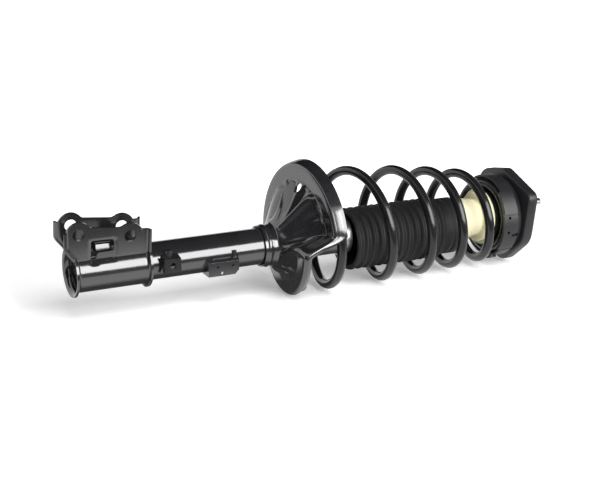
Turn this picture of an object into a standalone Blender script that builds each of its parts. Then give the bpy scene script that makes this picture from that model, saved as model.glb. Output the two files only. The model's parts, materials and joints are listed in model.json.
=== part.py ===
"""Strut assembly: a twin-tube damper with a clevis bracket for the wheel knuckle, a conical
coil spring between two seats, a dust boot, a bump stop and a rubber-bushed upper mount.

Sizes below are in millimetres and become metres where a mesh is made. The damper axis is X:
it starts at the closed foot of the tube (X = 0) and points towards the vehicle body. The
strut lies on its side as on a bench, with Z up and the bracket's ears on top.
"""

import math

import bmesh
import bpy
from mathutils import Matrix, Vector

MM = 0.001

# Shared values
GAP = 0.3  # clearance between pieces that touch
ROUND_SIDES = 36  # sides of the larger round pieces
SMALL_SIDES = 24  # sides of the smaller round pieces

# Damper tube and what it holds
TUBE_R = 21.0
TUBE_WALL = 1.8
TUBE_END = 322.0
BASE_THICK = 4.0
BASE_SPIGOT = 6.0
PRESSURE_R = 15.5
PRESSURE_WALL = 1.3
BASE_VALVE_THICK = 6.5
BASE_VALVE_SPIGOT = 7.0
ROD_R = 10.0
ROD_CLEAR = 0.35
GUIDE_THICK = 17.0
SEAL_THICK = 7.0
CAP_LAP = 9.0
CAP_WALL = 1.6
CAP_FLOOR = 3.6
PISTON_THICK = 16.0
PISTON_FROM_STOP = 7.0
PISTON_SPIGOT_R = 6.0
BAND_WIDTH = 8.0
BAND_THICK = 1.1
NUT_THICK = 9.0
NUT_R = 9.6
STOP_THICK = 11.0
STOP_R = 13.0

# Knuckle bracket: one sheet wrapped round the tube, its two edges standing up as ears
SHEET = 2.6
EAR_GAP = 26.0
EAR_LEAN = 8.0  # degrees that the ears lean towards the front
WRAP_FOOT = -9.0
EAR_FOOT = -21.0
BRACKET_TOP = 77.0
FOOT_FLARE = 7.0
TOP_FLARE = 6.5
FLARE_LENGTH = 6.5
LOW_HOLE_X, LOW_HOLE_H, LOW_LOBE_R = -3.7, 48.5, 14.3
HIGH_HOLE_X, HIGH_HOLE_H, HIGH_LOBE_R = 53.9, 40.5, 14.8
BOLT_HOLE_R = 6.65
LOW_SADDLE_H, HIGH_SADDLE_H = 54.8, 51.6
FOOT_FLANGE_H = 53.0
TOP_FLANGE_H = 46.5
WINDOW_X, WINDOW_LENGTH = 14.0, 22.0
WINDOW_H, WINDOW_HEIGHT = 25.0, 12.0
STRAP_FOOT, STRAP_LENGTH = 4.0, 62.0
STRAP_THICK = 2.2
STRAP_CLEAR = 0.3

# Brackets for the brake hose and the sensor wire
HOSE_X, HOSE_LENGTH = 88.5, 19.5
HOSE_FRONT_Y = 30.5
HOSE_LOW, HOSE_HIGH = -7.6, 8.0
HOSE_SHEET = 2.4
HOSE_HOLE_R = 3.5
HOSE_FOOT = 8.0
HOSE_BACK_Y, HOSE_BACK_Z = 18.5, 11.0  # where the sloping top meets the tube
HOSE_BOSS_R, HOSE_BOSS_RISE = 4.6, 4.6
WIRE_X, WIRE_LENGTH = 142.0, 37.0
WIRE_FRONT_Y = 26.0
WIRE_LOW, WIRE_HIGH = -20.5, 5.5
WIRE_SLOPE_Z, WIRE_SLOPE_Y = -4.5, 18.0  # the top slopes up from the front edge to the tube
WIRE_SHEET = 2.0
WIRE_HOLE_R = 1.6
WIRE_CORNER = 5.0

# Coil spring, wound right-handed. Its turns count from the first full turn's top
WIRE = 11.5
START_TURN = -1.57
END_TURN = 4.70
LOW_COIL_X = 256.8  # wire centre at the lower tip
TOP_COIL_X = 527.0  # wire centre at the upper tip
HIGH_PITCH = 38.0
PITCH_GAIN = 33.9  # how much steeper the coil is at turn 0, fading by the decay below
PITCH_DECAY = 0.924
LOW_END_PITCH = 37.5
LOW_SEATED, LOW_FREE = -0.59, -0.42
HIGH_FREE, HIGH_SEATED = 3.70, 4.37
COIL_R = 65.0
COIL_TAPER = 2.27
COIL_CURVE = -0.433
LOW_COIL_R = 67.0
TOP_COIL_R = 41.0
PIGTAIL_START, PIGTAIL_END = 3.40, 3.76
COIL_LIFT = 10.1
COIL_LEAN = 2.51
LOW_COIL_LIFT = 14.6
POINTS_PER_TURN = 24

# Lower spring seat, a pressed dish on a collar, with a helical floor
SEAT_SHEET = 2.5
SEAT_PAD = 4.6
SEAT_PAD_WIDTH = 10.0
SEAT_COIL_CLEAR = 0.9  # along X, so that the sloping coil still clears the pad
SEAT_LIFT = 15.7
SEAT_FLOOR_IN, SEAT_FLOOR_OUT = 57.0, 71.8
SEAT_CORNER = 2.2
SEAT_RIM_FLARE, SEAT_LOW_FLARE = 2.7, -1.5  # the rim's radius past the floor's corner
SEAT_RIM_PAST = 1.8  # the rim stands this far past the wire's centre
SEAT_RIM_SHORT = 7.4  # how much lower the rim is where the dish starts
SEAT_RIM_GROWS, SEAT_RIM_FULL = -1.45, -1.20
SEAT_STEP_START, SEAT_STEP_END = -0.765, -0.715
COLLAR_FOOT = 214.0
COLLAR_LENGTH = 15.0
COLLAR_LIP = 2.4
SEAT_SIDES = 60
SEAT_PAD_START, SEAT_PAD_END = -1.57, -0.80
SEAT_RIB = 5.0
DRAIN_R = 5.4
DRAIN_TURN, DRAIN_SHARE = -0.97, 0.86

# Dust boot
BOOT_FOOT = 327.0
BOOT_RIBS = 13
RIB_PITCH = 9.5
RIB_R = 37.0
VALLEY_R = 33.4
BOOT_DROOP = 6.0  # the boot hangs on the bump stop's neck, this far below the damper's axis
BOOT_WALL = 2.6
COLLAR_END = 476.0

# Bump stop and its cup
BUMP_FOOT = 444.0
BUMP_NECK_R = 25.2
BUMP_TAPER_X, BUMP_TAPER_LENGTH = 484.0, 22.0
BUMP_GROOVE_R, BUMP_GROOVE_LENGTH = 22.5, 1.5
BUMP_HEAD_R, BUMP_HEAD_EDGE = 31.0, 2.0
BUMP_BORE_CLEAR = 0.8
CUP_WALL = 2.0
CUP_LENGTH = 31.0
CUP_FLOOR = 3.5

# Upper mount
PLATE_X = 549.0
PLATE_THICK = 13.5
PLATE_CORNERS = (
    (-59.0, 35.0),
    (-48.5, -27.0),
    (0.0, -66.0),
    (48.5, -27.0),
    (56.0, 46.5),
    (0.0, 57.0),
)
PLATE_CORNER_R = 11.0
PLATE_EDGE = 1.6
PAD_RING_R = 51.0
PAD_EDGE = 1.6
PAD_RING_LENGTH = 17.5
PAD_BLOCK_OUT, PAD_BLOCK_FRONT = 2.0, 4.5  # a raised block on the ring's near side
PAD_BLOCK_START, PAD_BLOCK_END = 134.0, 200.0
PAD_BLOCK_LENGTH = 18.0
PAD_NECK_R, PAD_NECK_LENGTH = 46.0, 7.5
PAD_WALL_CLEAR = 0.9
BUSH_R = 24.0
BUSH_RECESS = 1.2
SLEEVE_WALL = 2.2
ROD_THREAD_R = 6.0
TOP_WASHER_R = 20.0
TOP_WASHER_THICK = 3.0
TOP_NUT_R = 10.6
TOP_NUT_THICK = 10.0
THREAD_SHOWN = 7.0
STUD_R = 4.0
STUD_PITCH_R = 38.5
STUD_LENGTH = 20.0
STUD_COLLAR_R = 6.0
STUD_COLLAR_THICK = 2.0

# Places that follow from the sizes
TUBE_BORE_R = TUBE_R - TUBE_WALL
PRESSURE_BORE_R = PRESSURE_R - PRESSURE_WALL
VALVE_X = BASE_THICK + BASE_SPIGOT + GAP
PRESSURE_X = VALVE_X + BASE_VALVE_THICK + GAP
SEAL_X = TUBE_END - SEAL_THICK - GAP
GUIDE_X = SEAL_X - GUIDE_THICK - GAP
CAP_FACE = TUBE_END + GAP + CAP_FLOOR
STOP_X = GUIDE_X - GAP - STOP_THICK
PISTON_X = STOP_X - PISTON_FROM_STOP - PISTON_THICK
WRAP_R = TUBE_R + GAP
PAD_RING_END = PLATE_X - GAP - PAD_NECK_LENGTH
PAD_RING_X = PAD_RING_END - PAD_RING_LENGTH
CUP_END = PLATE_X - GAP
SLEEVE_END = PLATE_X + PLATE_THICK + 1.5
WASHER_X = SLEEVE_END + GAP
TOP_NUT_X = WASHER_X + TOP_WASHER_THICK + GAP
ROD_END = TOP_NUT_X + TOP_NUT_THICK + THREAD_SHOWN


# ---------------------------------------------------------------- materials

def paint(name, colour, roughness, metallic=0.0):
    material = bpy.data.materials.new(name)
    material.use_nodes = True
    shader = material.node_tree.nodes["Principled BSDF"]
    shader.inputs["Base Color"].default_value = (*colour, 1.0)
    shader.inputs["Roughness"].default_value = roughness
    shader.inputs["Metallic"].default_value = metallic
    material.diffuse_color = (*colour, 1.0)
    return material


def make_materials():
    return {
        "black_paint": paint("black_paint", (0.012, 0.012, 0.014), 0.22),
        "spring_coat": paint("spring_coat", (0.014, 0.014, 0.015), 0.34),
        "boot_rubber": paint("boot_rubber", (0.022, 0.023, 0.023), 0.75),
        "mount_rubber": paint("mount_rubber", (0.045, 0.046, 0.050), 0.65),
        "bump_foam": paint("bump_foam", (0.82, 0.76, 0.48), 0.60),
        "zinc_steel": paint("zinc_steel", (0.62, 0.63, 0.64), 0.32, 1.0),
        "chrome_rod": paint("chrome_rod", (0.80, 0.81, 0.82), 0.10, 1.0),
        "bare_steel": paint("bare_steel", (0.42, 0.42, 0.43), 0.38, 1.0),
        "seal_rubber": paint("seal_rubber", (0.03, 0.03, 0.03), 0.60),
    }


# ---------------------------------------------------------------- mesh helpers

def add_object(name, bm, material, sharp_degrees=35.0):
    """Turn millimetres into metres, face the shell outwards and make the object."""
    bmesh.ops.remove_doubles(bm, verts=bm.verts, dist=1e-4)
    bmesh.ops.recalc_face_normals(bm, faces=bm.faces)
    bmesh.ops.scale(bm, vec=(MM, MM, MM), verts=bm.verts)
    mesh = bpy.data.meshes.new(name)
    bm.to_mesh(mesh)
    bm.free()
    mesh.shade_smooth()
    mesh.set_sharp_from_angle(angle=math.radians(sharp_degrees))
    thing = bpy.data.objects.new(name, mesh)
    bpy.context.scene.collection.objects.link(thing)
    if material:
        mesh.materials.append(material)
    return thing


def turned(name, profile, material, sides=ROUND_SIDES):
    """Spin a closed outline of (x, radius) points about the damper axis."""
    bm = bmesh.new()
    verts = [bm.verts.new((x, 0.0, r)) for x, r in profile]
    edges = [bm.edges.new((a, b)) for a, b in zip(verts, verts[1:] + verts[:1])]
    bmesh.ops.spin(
        bm, geom=verts + edges, cent=(0, 0, 0), axis=(1, 0, 0),
        angle=2 * math.pi, steps=sides, use_merge=True,
    )
    bmesh.ops.remove_doubles(bm, verts=bm.verts, dist=1e-4)
    bmesh.ops.dissolve_degenerate(bm, edges=bm.edges, dist=1e-4)
    return add_object(name, bm, material)


def ring(name, x, length, inner_r, outer_r, material, sides=ROUND_SIDES, chamfer=0.0):
    """A plain turned ring with its outer corners chamfered."""
    profile = [(x, inner_r), (x, outer_r - chamfer)]
    if chamfer:
        profile += [(x + chamfer, outer_r), (x + length - chamfer, outer_r)]
    profile += [(x + length, outer_r - chamfer), (x + length, inner_r)]
    return turned(name, profile, material, sides)


def prism(name, outline, along, material, place=None, centred=True):
    """Extrude a flat outline of 3-D points by the vector `along`."""
    bm = bmesh.new()
    start = Vector(along) * -0.5 if centred else Vector((0, 0, 0))
    face = bm.faces.new([bm.verts.new(Vector(p) + start) for p in outline])
    made = bmesh.ops.extrude_face_region(bm, geom=[face])
    moved = [v for v in made["geom"] if isinstance(v, bmesh.types.BMVert)]
    bmesh.ops.translate(bm, vec=along, verts=moved)
    if place:
        bmesh.ops.transform(bm, matrix=place, verts=bm.verts)
    return add_object(name, bm, material)


def box(name, low, high, material):
    (x0, y0, z0), (x1, y1, z1) = low, high
    outline = [(x0, y0, z0), (x0, y1, z0), (x0, y1, z1), (x0, y0, z1)]
    return prism(name, outline, (x1 - x0, 0, 0), material, centred=False)


def combine(thing, other, operation):
    """Cut, join or keep the common part with a hidden helper solid."""
    other.hide_render = True
    other.display_type = "WIRE"
    step = thing.modifiers.new(other.name, "BOOLEAN")
    step.operation = operation
    step.object = other
    step.solver = "EXACT"
    return thing


def arc(centre, radius, start, end, steps):
    """Points along a circle, angles in degrees, both ends included."""
    angles = [math.radians(start + (end - start) * i / steps) for i in range(steps + 1)]
    return [(centre[0] + radius * math.cos(a), centre[1] + radius * math.sin(a)) for a in angles]


def rounded_outline(corners, radius, steps=4):
    """A convex outline with each corner replaced by an arc of the given radius."""
    points = []
    count = len(corners)
    for i, corner in enumerate(corners):
        here = Vector(corner)
        to_last = (Vector(corners[i - 1]) - here).normalized()
        to_next = (Vector(corners[(i + 1) % count]) - here).normalized()
        half = to_last.angle(to_next) / 2
        centre = here + (to_last + to_next).normalized() * radius / math.sin(half)
        first = here + to_last * radius / math.tan(half) - centre
        last = here + to_next * radius / math.tan(half) - centre
        turn = first.angle_signed(last)
        for k in range(steps + 1):
            spoke = first.copy()
            spoke.rotate(Matrix.Rotation(-turn * k / steps, 2))
            points.append(tuple(centre + spoke))
    return points


def smooth(share):
    share = min(max(share, 0.0), 1.0)
    return share * share * (3 - 2 * share)


def mix(low, high, share):
    return low + (high - low) * share


# ---------------------------------------------------------------- damper

def make_damper(m):
    turned(
        "reservoir_tube",
        [(BASE_THICK + GAP, TUBE_BORE_R), (BASE_THICK + GAP, TUBE_R), (TUBE_END, TUBE_R),
         (TUBE_END, TUBE_BORE_R)],
        m["black_paint"], ROUND_SIDES,
    )
    spigot_r = TUBE_BORE_R - GAP
    spigot_end = BASE_THICK + BASE_SPIGOT
    turned(
        "base_cap",
        [(0, 0), (0, TUBE_R - 1.5), (1.5, TUBE_R), (BASE_THICK, TUBE_R), (BASE_THICK, spigot_r),
         (spigot_end, spigot_r), (spigot_end, spigot_r - 4.0), (BASE_THICK, spigot_r - 7.0),
         (BASE_THICK, 0)],
        m["black_paint"],
    )
    plug_r = PRESSURE_BORE_R - GAP
    valve_end = VALVE_X + BASE_VALVE_THICK
    turned(
        "base_valve",
        [(VALVE_X, 4.0), (VALVE_X, PRESSURE_R + 1.8), (valve_end, PRESSURE_R + 1.8),
         (valve_end, plug_r), (valve_end + BASE_VALVE_SPIGOT, plug_r - 1.5),
         (valve_end + BASE_VALVE_SPIGOT, 4.0)],
        m["bare_steel"], SMALL_SIDES,
    )
    ring("pressure_tube", PRESSURE_X, GUIDE_X - GAP - PRESSURE_X, PRESSURE_BORE_R, PRESSURE_R,
         m["bare_steel"], SMALL_SIDES)
    bore = ROD_R + ROD_CLEAR
    ring("rod_guide", GUIDE_X, GUIDE_THICK, bore, TUBE_BORE_R - GAP, m["bare_steel"], SMALL_SIDES, 1.5)
    ring("oil_seal", SEAL_X, SEAL_THICK, bore, TUBE_BORE_R - GAP, m["seal_rubber"], SMALL_SIDES, 0.8)
    cap_bore = TUBE_R + GAP
    cap_foot = TUBE_END - CAP_LAP
    turned(
        "striker_cap",
        [(cap_foot, cap_bore), (cap_foot, cap_bore + CAP_WALL), (CAP_FACE - 1.2, cap_bore + CAP_WALL),
         (CAP_FACE, cap_bore + CAP_WALL - 1.2), (CAP_FACE, ROD_R + 2.0),
         (TUBE_END + GAP, ROD_R + 2.0), (TUBE_END + GAP, cap_bore)],
        m["zinc_steel"],
    )


def make_rod(m):
    neck = PISTON_SPIGOT_R
    foot = PISTON_X - GAP - NUT_THICK - 3.0
    shoulder = PISTON_X + PISTON_THICK + GAP
    mount_shoulder = PLATE_X - GAP
    turned(
        "piston_rod",
        [(foot, 0), (foot, neck - 1.0), (foot + 1.0, neck), (shoulder, neck), (shoulder, ROD_R),
         (mount_shoulder, ROD_R), (mount_shoulder, ROD_THREAD_R), (ROD_END - 1.2, ROD_THREAD_R),
         (ROD_END, ROD_THREAD_R - 1.2), (ROD_END, 0)],
        m["chrome_rod"], SMALL_SIDES,
    )
    piston_r = PRESSURE_BORE_R - BAND_THICK - GAP - 0.5
    ring("damper_piston", PISTON_X, PISTON_THICK, neck + GAP, piston_r, m["bare_steel"],
         SMALL_SIDES, 1.0)
    band_x = PISTON_X + (PISTON_THICK - BAND_WIDTH) / 2
    ring("piston_band", band_x, BAND_WIDTH, piston_r + GAP, PRESSURE_BORE_R - GAP,
         m["seal_rubber"], SMALL_SIDES)
    hexagon_nut("piston_nut", PISTON_X - GAP - NUT_THICK, NUT_THICK, NUT_R, neck + GAP,
                m["bare_steel"])
    ring("rebound_stop", STOP_X, STOP_THICK, ROD_R + GAP, STOP_R, m["seal_rubber"], SMALL_SIDES, 2.0)


def hexagon_nut(name, x, length, corner_r, bore_r, material):
    corners = [(x, *p) for p in arc((0, 0), corner_r, 0, 300, 5)]
    nut = prism(name, corners, (length, 0, 0), material, centred=False)
    hole = [(x, *p) for p in arc((0, 0), bore_r, 0, 345, 23)]
    cutter = prism(name + "_bore", hole, (length * 3, 0, 0), None,
                   Matrix.Translation((-length, 0, 0)), centred=False)
    return combine(nut, cutter, "DIFFERENCE")


# ---------------------------------------------------------------- knuckle bracket

def lean():
    """From the bracket's own frame, ears straight up, to the leaning one."""
    return Matrix.Rotation(math.radians(EAR_LEAN), 4, "X")


def wrap_path():
    """Inner face of the sheet seen along X: down the front ear, round the tube, up the back ear."""
    half = EAR_GAP / 2
    joint = math.sqrt(WRAP_R**2 - half**2)
    turn = math.degrees(math.atan2(joint, half))
    top = LOW_HOLE_H + LOW_LOBE_R + 6
    heights = (top, 50.0, 38.0, 28.0, 21.0)
    front = [(-half, h) for h in heights]
    round_part = arc((0, 0), WRAP_R, 180 - turn, 360 + turn, 22)
    back = [(half, h) for h in reversed(heights)]
    return front + round_part + back


def wrap_normals(path):
    normals = []
    for i in range(len(path)):
        a = Vector(path[max(i - 1, 0)])
        b = Vector(path[min(i + 1, len(path) - 1)])
        along = (b - a).normalized()
        normals.append(Vector((along.y, -along.x)))
    return normals


def flare_stations():
    """(share of the length from the foot, outward offset) pairs along the sheet."""
    share = FLARE_LENGTH / (BRACKET_TOP - WRAP_FOOT)
    foot = [(share * (1 - math.sin(a)), FOOT_FLARE * (1 - math.cos(a)))
            for a in (math.radians(d) for d in (90, 68, 45, 22, 0))]
    top = [(1 - share * (1 - math.sin(a)), TOP_FLARE * (1 - math.cos(a)))
           for a in (math.radians(d) for d in (0, 30, 55, 75, 90))]
    return foot + top


def make_bracket(m):
    path = wrap_path()
    normals = wrap_normals(path)
    bm = bmesh.new()
    rows = []
    for (y, z), normal in zip(path, normals):
        foot_x = mix(WRAP_FOOT, EAR_FOOT, smooth((z - 14.0) / 22.0))
        row = []
        for share, offset in flare_stations():
            x = mix(foot_x, BRACKET_TOP, share)
            row.append(bm.verts.new((x, y + normal.x * offset, z + normal.y * offset)))
        rows.append(row)
    for a, b in zip(rows, rows[1:]):
        for i in range(len(a) - 1):
            bm.faces.new((a[i], a[i + 1], b[i + 1], b[i]))
    bmesh.ops.transform(bm, matrix=lean(), verts=bm.verts)
    bracket = sheet_object("knuckle_bracket", bm, m["black_paint"], SHEET, Vector((30, 0, -40)))
    combine(bracket, ear_outline_keeper(), "INTERSECT")
    for label, x, h in (("low", LOW_HOLE_X, LOW_HOLE_H), ("high", HIGH_HOLE_X, HIGH_HOLE_H)):
        circle = [(px, 0, ph) for px, ph in arc((x, h), BOLT_HOLE_R, 0, 345, 23)]
        combine(bracket, prism(f"{label}_bolt_hole", circle, (0, 90, 0), None, lean()), "DIFFERENCE")
    window = [(WINDOW_X, WINDOW_H), (WINDOW_X + WINDOW_LENGTH, WINDOW_H),
              (WINDOW_X + WINDOW_LENGTH, WINDOW_H + WINDOW_HEIGHT), (WINDOW_X, WINDOW_H + WINDOW_HEIGHT)]
    outline = [(x, 0, h) for x, h in rounded_outline(window, 2.5, 3)]
    past_sheet = 4 * SHEET
    front = lean() @ Matrix.Translation((0, -(EAR_GAP + SHEET) / 2, 0))
    combine(bracket, prism("ear_window", outline, (0, past_sheet, 0), None, front), "DIFFERENCE")
    make_strap(m)


def sheet_object(name, bm, material, thickness, outside):
    """A pressed sheet: its modelled face lies against the tube, the thickness goes outwards."""
    nearest = min(bm.faces, key=lambda f: (f.calc_center_median() - outside).length)
    nearest.normal_update()
    if nearest.normal.dot(outside - nearest.calc_center_median()) < 0:
        bmesh.ops.reverse_faces(bm, faces=bm.faces)
    bmesh.ops.scale(bm, vec=(MM, MM, MM), verts=bm.verts)
    mesh = bpy.data.meshes.new(name)
    bm.to_mesh(mesh)
    bm.free()
    mesh.materials.append(material)
    mesh.shade_smooth()
    mesh.set_sharp_from_angle(angle=math.radians(40))
    thing = bpy.data.objects.new(name, mesh)
    bpy.context.scene.collection.objects.link(thing)
    solid = thing.modifiers.new("sheet", "SOLIDIFY")
    solid.thickness = thickness * MM
    solid.offset = 1.0
    solid.use_even_offset = True
    return thing


def ear_outline_keeper():
    """Side view of the bracket in X and height: what the press tool leaves of the flat ears."""
    low, high = (LOW_HOLE_X, LOW_HOLE_H), (HIGH_HOLE_X, HIGH_HOLE_H)
    low_turn = math.degrees(math.asin((LOW_SADDLE_H - LOW_HOLE_H) / LOW_LOBE_R))
    foot_turn = 180 - math.degrees(math.asin((FOOT_FLANGE_H - LOW_HOLE_H) / LOW_LOBE_R))
    high_turn = 180 - math.degrees(math.asin((HIGH_SADDLE_H - HIGH_HOLE_H) / HIGH_LOBE_R))
    flange_turn = math.degrees(math.asin((TOP_FLANGE_H - HIGH_HOLE_H) / HIGH_LOBE_R))
    far_x, deep = 40.0, -60.0
    outline = [(EAR_FOOT - far_x, deep), (EAR_FOOT - far_x, FOOT_FLANGE_H)]
    outline += arc(low, LOW_LOBE_R, foot_turn, low_turn, 12)
    outline += arc(high, HIGH_LOBE_R, high_turn, flange_turn, 9)
    outline += [(BRACKET_TOP + far_x, TOP_FLANGE_H), (BRACKET_TOP + far_x, deep)]
    return prism("ear_outline", [(x, 0, h) for x, h in outline], (0, 120, 0), None, lean())


def make_strap(m):
    """Inner strap that closes the sheet over the tube between the ears."""
    inner = TUBE_R + GAP
    half = math.degrees(math.asin((EAR_GAP / 2 - STRAP_CLEAR) / (inner + STRAP_THICK)))
    start, end = 90 - half, 90 + half
    section = arc((0, 0), inner, start, end, 10) + arc((0, 0), inner + STRAP_THICK, end, start, 10)
    outline = [(STRAP_FOOT, y, z) for y, z in section]
    prism("bracket_strap", outline, (STRAP_LENGTH, 0, 0), m["black_paint"], lean(), centred=False)


# ---------------------------------------------------------------- small brackets

def tube_cutter(name, x, length):
    outline = [(x, *p) for p in arc((0, 0), WRAP_R, 0, 354, 59)]
    return prism(name, outline, (length, 0, 0), None, centred=False)


def sloped_section(front_y, front_z, back_y, back_z, inset):
    """Two corners of a sheet that slopes up from a front wall, each moved in by `inset`."""
    rise, run = back_z - front_z, back_y - front_y
    slope = math.hypot(rise, run)
    foot = front_z + inset * (rise - slope) / run
    head = back_y + inset * (slope - run) / rise
    return [(front_y + inset, foot), (head, back_z - inset)]


def folded_channel(name, x, length, sheet, low, corners, material):
    """Front wall, sloping top and two end walls of one sheet, open at the back and below."""
    behind, past = -2.0, 9.0
    outer = [(corners[0], low), *sloped_section(*corners, 0.0), (behind, corners[3]), (behind, low)]
    body = prism(name, [(x, y, z) for y, z in outer], (length, 0, 0), material, centred=False)
    inner = [(corners[0] + sheet, low - past), *sloped_section(*corners, sheet),
             (past, corners[3] - sheet), (past, low - past)]
    hollow = prism(name + "_hollow", [(x + sheet, y, z) for y, z in inner],
                   (length - 2 * sheet, 0, 0), None, centred=False)
    return combine(body, hollow, "DIFFERENCE")


def make_hose_bracket(m):
    """A folded box with a bolt hole in its front, a pressed boss on top and a spread foot."""
    x0, x1 = HOSE_X, HOSE_X + HOSE_LENGTH
    front, sheet = -HOSE_FRONT_Y, HOSE_SHEET
    corners = (front, HOSE_HIGH, -HOSE_BACK_Y, HOSE_BACK_Z)
    body = folded_channel("hose_bracket", x0, HOSE_LENGTH, sheet, HOSE_LOW, corners, m["black_paint"])
    boss_x = x0 + HOSE_BOSS_R + 3.5
    boss = [(boss_x + px, -HOSE_BACK_Y - 1.0 + py, HOSE_HIGH) for px, py in
            arc((0, 0), HOSE_BOSS_R, 0, 345, 23)]
    boss_height = HOSE_BACK_Z + HOSE_BOSS_RISE - HOSE_HIGH
    combine(body, prism("hose_bracket_boss", boss, (0, 0, boss_height), None, centred=False), "UNION")
    foot = [(x0 + sheet, front + 6), (x0, front + 6), (x0 - HOSE_FOOT, front + 15),
            (x0 - HOSE_FOOT, front + 22), (x0 + sheet, front + 22)]
    height = HOSE_HIGH - HOSE_LOW
    middle = (HOSE_HIGH + HOSE_LOW) / 2
    spread = prism("hose_bracket_foot", [(x, y, middle) for x, y in foot], (0, 0, height), None)
    combine(body, spread, "UNION")
    hole_x = (x0 + x1) / 2 + 0.5
    circle = [(px, front, pz) for px, pz in arc((hole_x, middle), HOSE_HOLE_R, 0, 345, 23)]
    combine(body, prism("hose_bolt_hole", circle, (0, 12, 0), None), "DIFFERENCE")
    combine(body, tube_cutter("hose_bracket_seat", x0 - 30, HOSE_LENGTH + 60), "DIFFERENCE")


def make_wire_bracket(m):
    """A shallow channel: front plate with three small holes, side returns and a sloping top."""
    x0, x1 = WIRE_X, WIRE_X + WIRE_LENGTH
    front, sheet = -WIRE_FRONT_Y, WIRE_SHEET
    corners = (front, WIRE_SLOPE_Z, -WIRE_SLOPE_Y, WIRE_HIGH)
    body = folded_channel("sensor_wire_bracket", x0, WIRE_LENGTH, sheet, WIRE_LOW, corners,
                          m["black_paint"])
    corner = [(x1 - WIRE_CORNER, WIRE_LOW), (x1 + 1, WIRE_LOW - 1), (x1, WIRE_LOW + WIRE_CORNER)]
    combine(body, prism("wire_bracket_corner", [(x, front, z) for x, z in corner], (0, 60, 0), None),
            "DIFFERENCE")
    holes = ((0.30, 0.67), (0.80, 0.64), (0.45, 0.19))
    for number, (across, up) in enumerate(holes, 1):
        centre = (mix(x0, x1, across), mix(WIRE_LOW, WIRE_SLOPE_Z, up))
        circle = [(px, front, pz) for px, pz in arc(centre, WIRE_HOLE_R, 0, 330, 11)]
        combine(body, prism(f"wire_clip_hole_{number}", circle, (0, 12, 0), None), "DIFFERENCE")
    slot = box("wire_bracket_slot", (x0 + 6.0, front + 0.8, WIRE_SLOPE_Z - 4.0),
               (x1 - 9.0, front + 3.0, WIRE_HIGH), None)
    combine(body, slot, "DIFFERENCE")
    tab_y = front + 2.4
    tab = box("wire_bracket_tab", (x1 - 5.5, tab_y, WIRE_SLOPE_Z + 1.5),
              (x1 - 2.0, tab_y + sheet, WIRE_HIGH + 1.0), None)
    combine(body, tab, "UNION")
    combine(body, tube_cutter("wire_bracket_seat", x0 - 10, WIRE_LENGTH + 20), "DIFFERENCE")


# ---------------------------------------------------------------- coil spring

def coil_pitch(turn):
    """Rise along X in millimetres per turn, before the spring is fitted between its seats."""
    free = HIGH_PITCH + PITCH_GAIN * math.exp(-PITCH_DECAY * turn)
    lifted = smooth((turn - LOW_SEATED) / (LOW_FREE - LOW_SEATED))
    seated = smooth((turn - HIGH_FREE) / (HIGH_SEATED - HIGH_FREE))
    return mix(mix(LOW_END_PITCH, free, lifted), 0.0, seated)


def coil_rise():
    """Share of the spring's length reached at each of a fine row of turns."""
    steps = 1200
    turns = [mix(START_TURN, END_TURN, i / steps) for i in range(steps + 1)]
    rise = [0.0]
    for a, b in zip(turns, turns[1:]):
        rise.append(rise[-1] + coil_pitch((a + b) / 2) * (b - a))
    return [r / rise[-1] for r in rise]


COIL_RISE = coil_rise()


def coil_x(turn):
    place = (turn - START_TURN) / (END_TURN - START_TURN) * (len(COIL_RISE) - 1)
    i = min(max(int(place), 0), len(COIL_RISE) - 2)
    share = mix(COIL_RISE[i], COIL_RISE[i + 1], place - i)
    return mix(LOW_COIL_X, TOP_COIL_X, share)


def from_seat(turn):
    """0 on the lower seat, 1 where the coil runs free."""
    return smooth((turn - START_TURN) / (LOW_FREE - START_TURN))


def to_pigtail(turn):
    """0 where the coil runs free, 1 on the small end turn in the upper pad."""
    return smooth((turn - PIGTAIL_START) / (PIGTAIL_END - PIGTAIL_START))


def coil_radius(turn):
    free = COIL_R - COIL_TAPER * turn + COIL_CURVE * turn * turn
    return mix(mix(LOW_COIL_R, free, from_seat(turn)), TOP_COIL_R, to_pigtail(turn))


def coil_lift(turn):
    free = COIL_LIFT - COIL_LEAN * turn
    return mix(mix(LOW_COIL_LIFT, free, from_seat(turn)), 0.0, to_pigtail(turn))


def coil_point(turn):
    angle = 2 * math.pi * turn
    r = coil_radius(turn)
    return Vector((coil_x(turn), -r * math.sin(angle), coil_lift(turn) + r * math.cos(angle)))


def make_spring(m):
    count = round((END_TURN - START_TURN) * POINTS_PER_TURN)
    turns = [mix(START_TURN, END_TURN, i / count) for i in range(count + 1)]
    points = [coil_point(t) for t in turns]
    curve = bpy.data.curves.new("coil_spring", "CURVE")
    curve.dimensions = "3D"
    curve.bevel_depth = WIRE / 2 * MM
    curve.bevel_resolution = 1
    curve.use_fill_caps = True
    spline = curve.splines.new("POLY")
    spline.points.add(len(points) - 1)
    for spot, point in zip(spline.points, points):
        spot.co = (*(point * MM), 1.0)
    curve.materials.append(m["spring_coat"])
    thing = bpy.data.objects.new("coil_spring", curve)
    bpy.context.scene.collection.objects.link(thing)
    near_turn = POINTS_PER_TURN // 2
    gaps = [(points[i] - points[j]).length - WIRE
            for i in range(len(points)) for j in range(i + near_turn, len(points))]
    print(f"coil_spring: {END_TURN - START_TURN:.2f} turns, least gap to itself {min(gaps):.2f} mm")


# ---------------------------------------------------------------- lower spring seat

def seat_helix(turn):
    """X of the wire above the seat, carried on past the coil's lower tip."""
    return coil_x(max(turn, START_TURN)) + LOW_END_PITCH * min(turn - START_TURN, 0.0)


def step_share(turn):
    """0 along the helical floor, 1 where it has stepped back down to its start."""
    return smooth((turn - SEAT_STEP_START) / (SEAT_STEP_END - SEAT_STEP_START))


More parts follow.
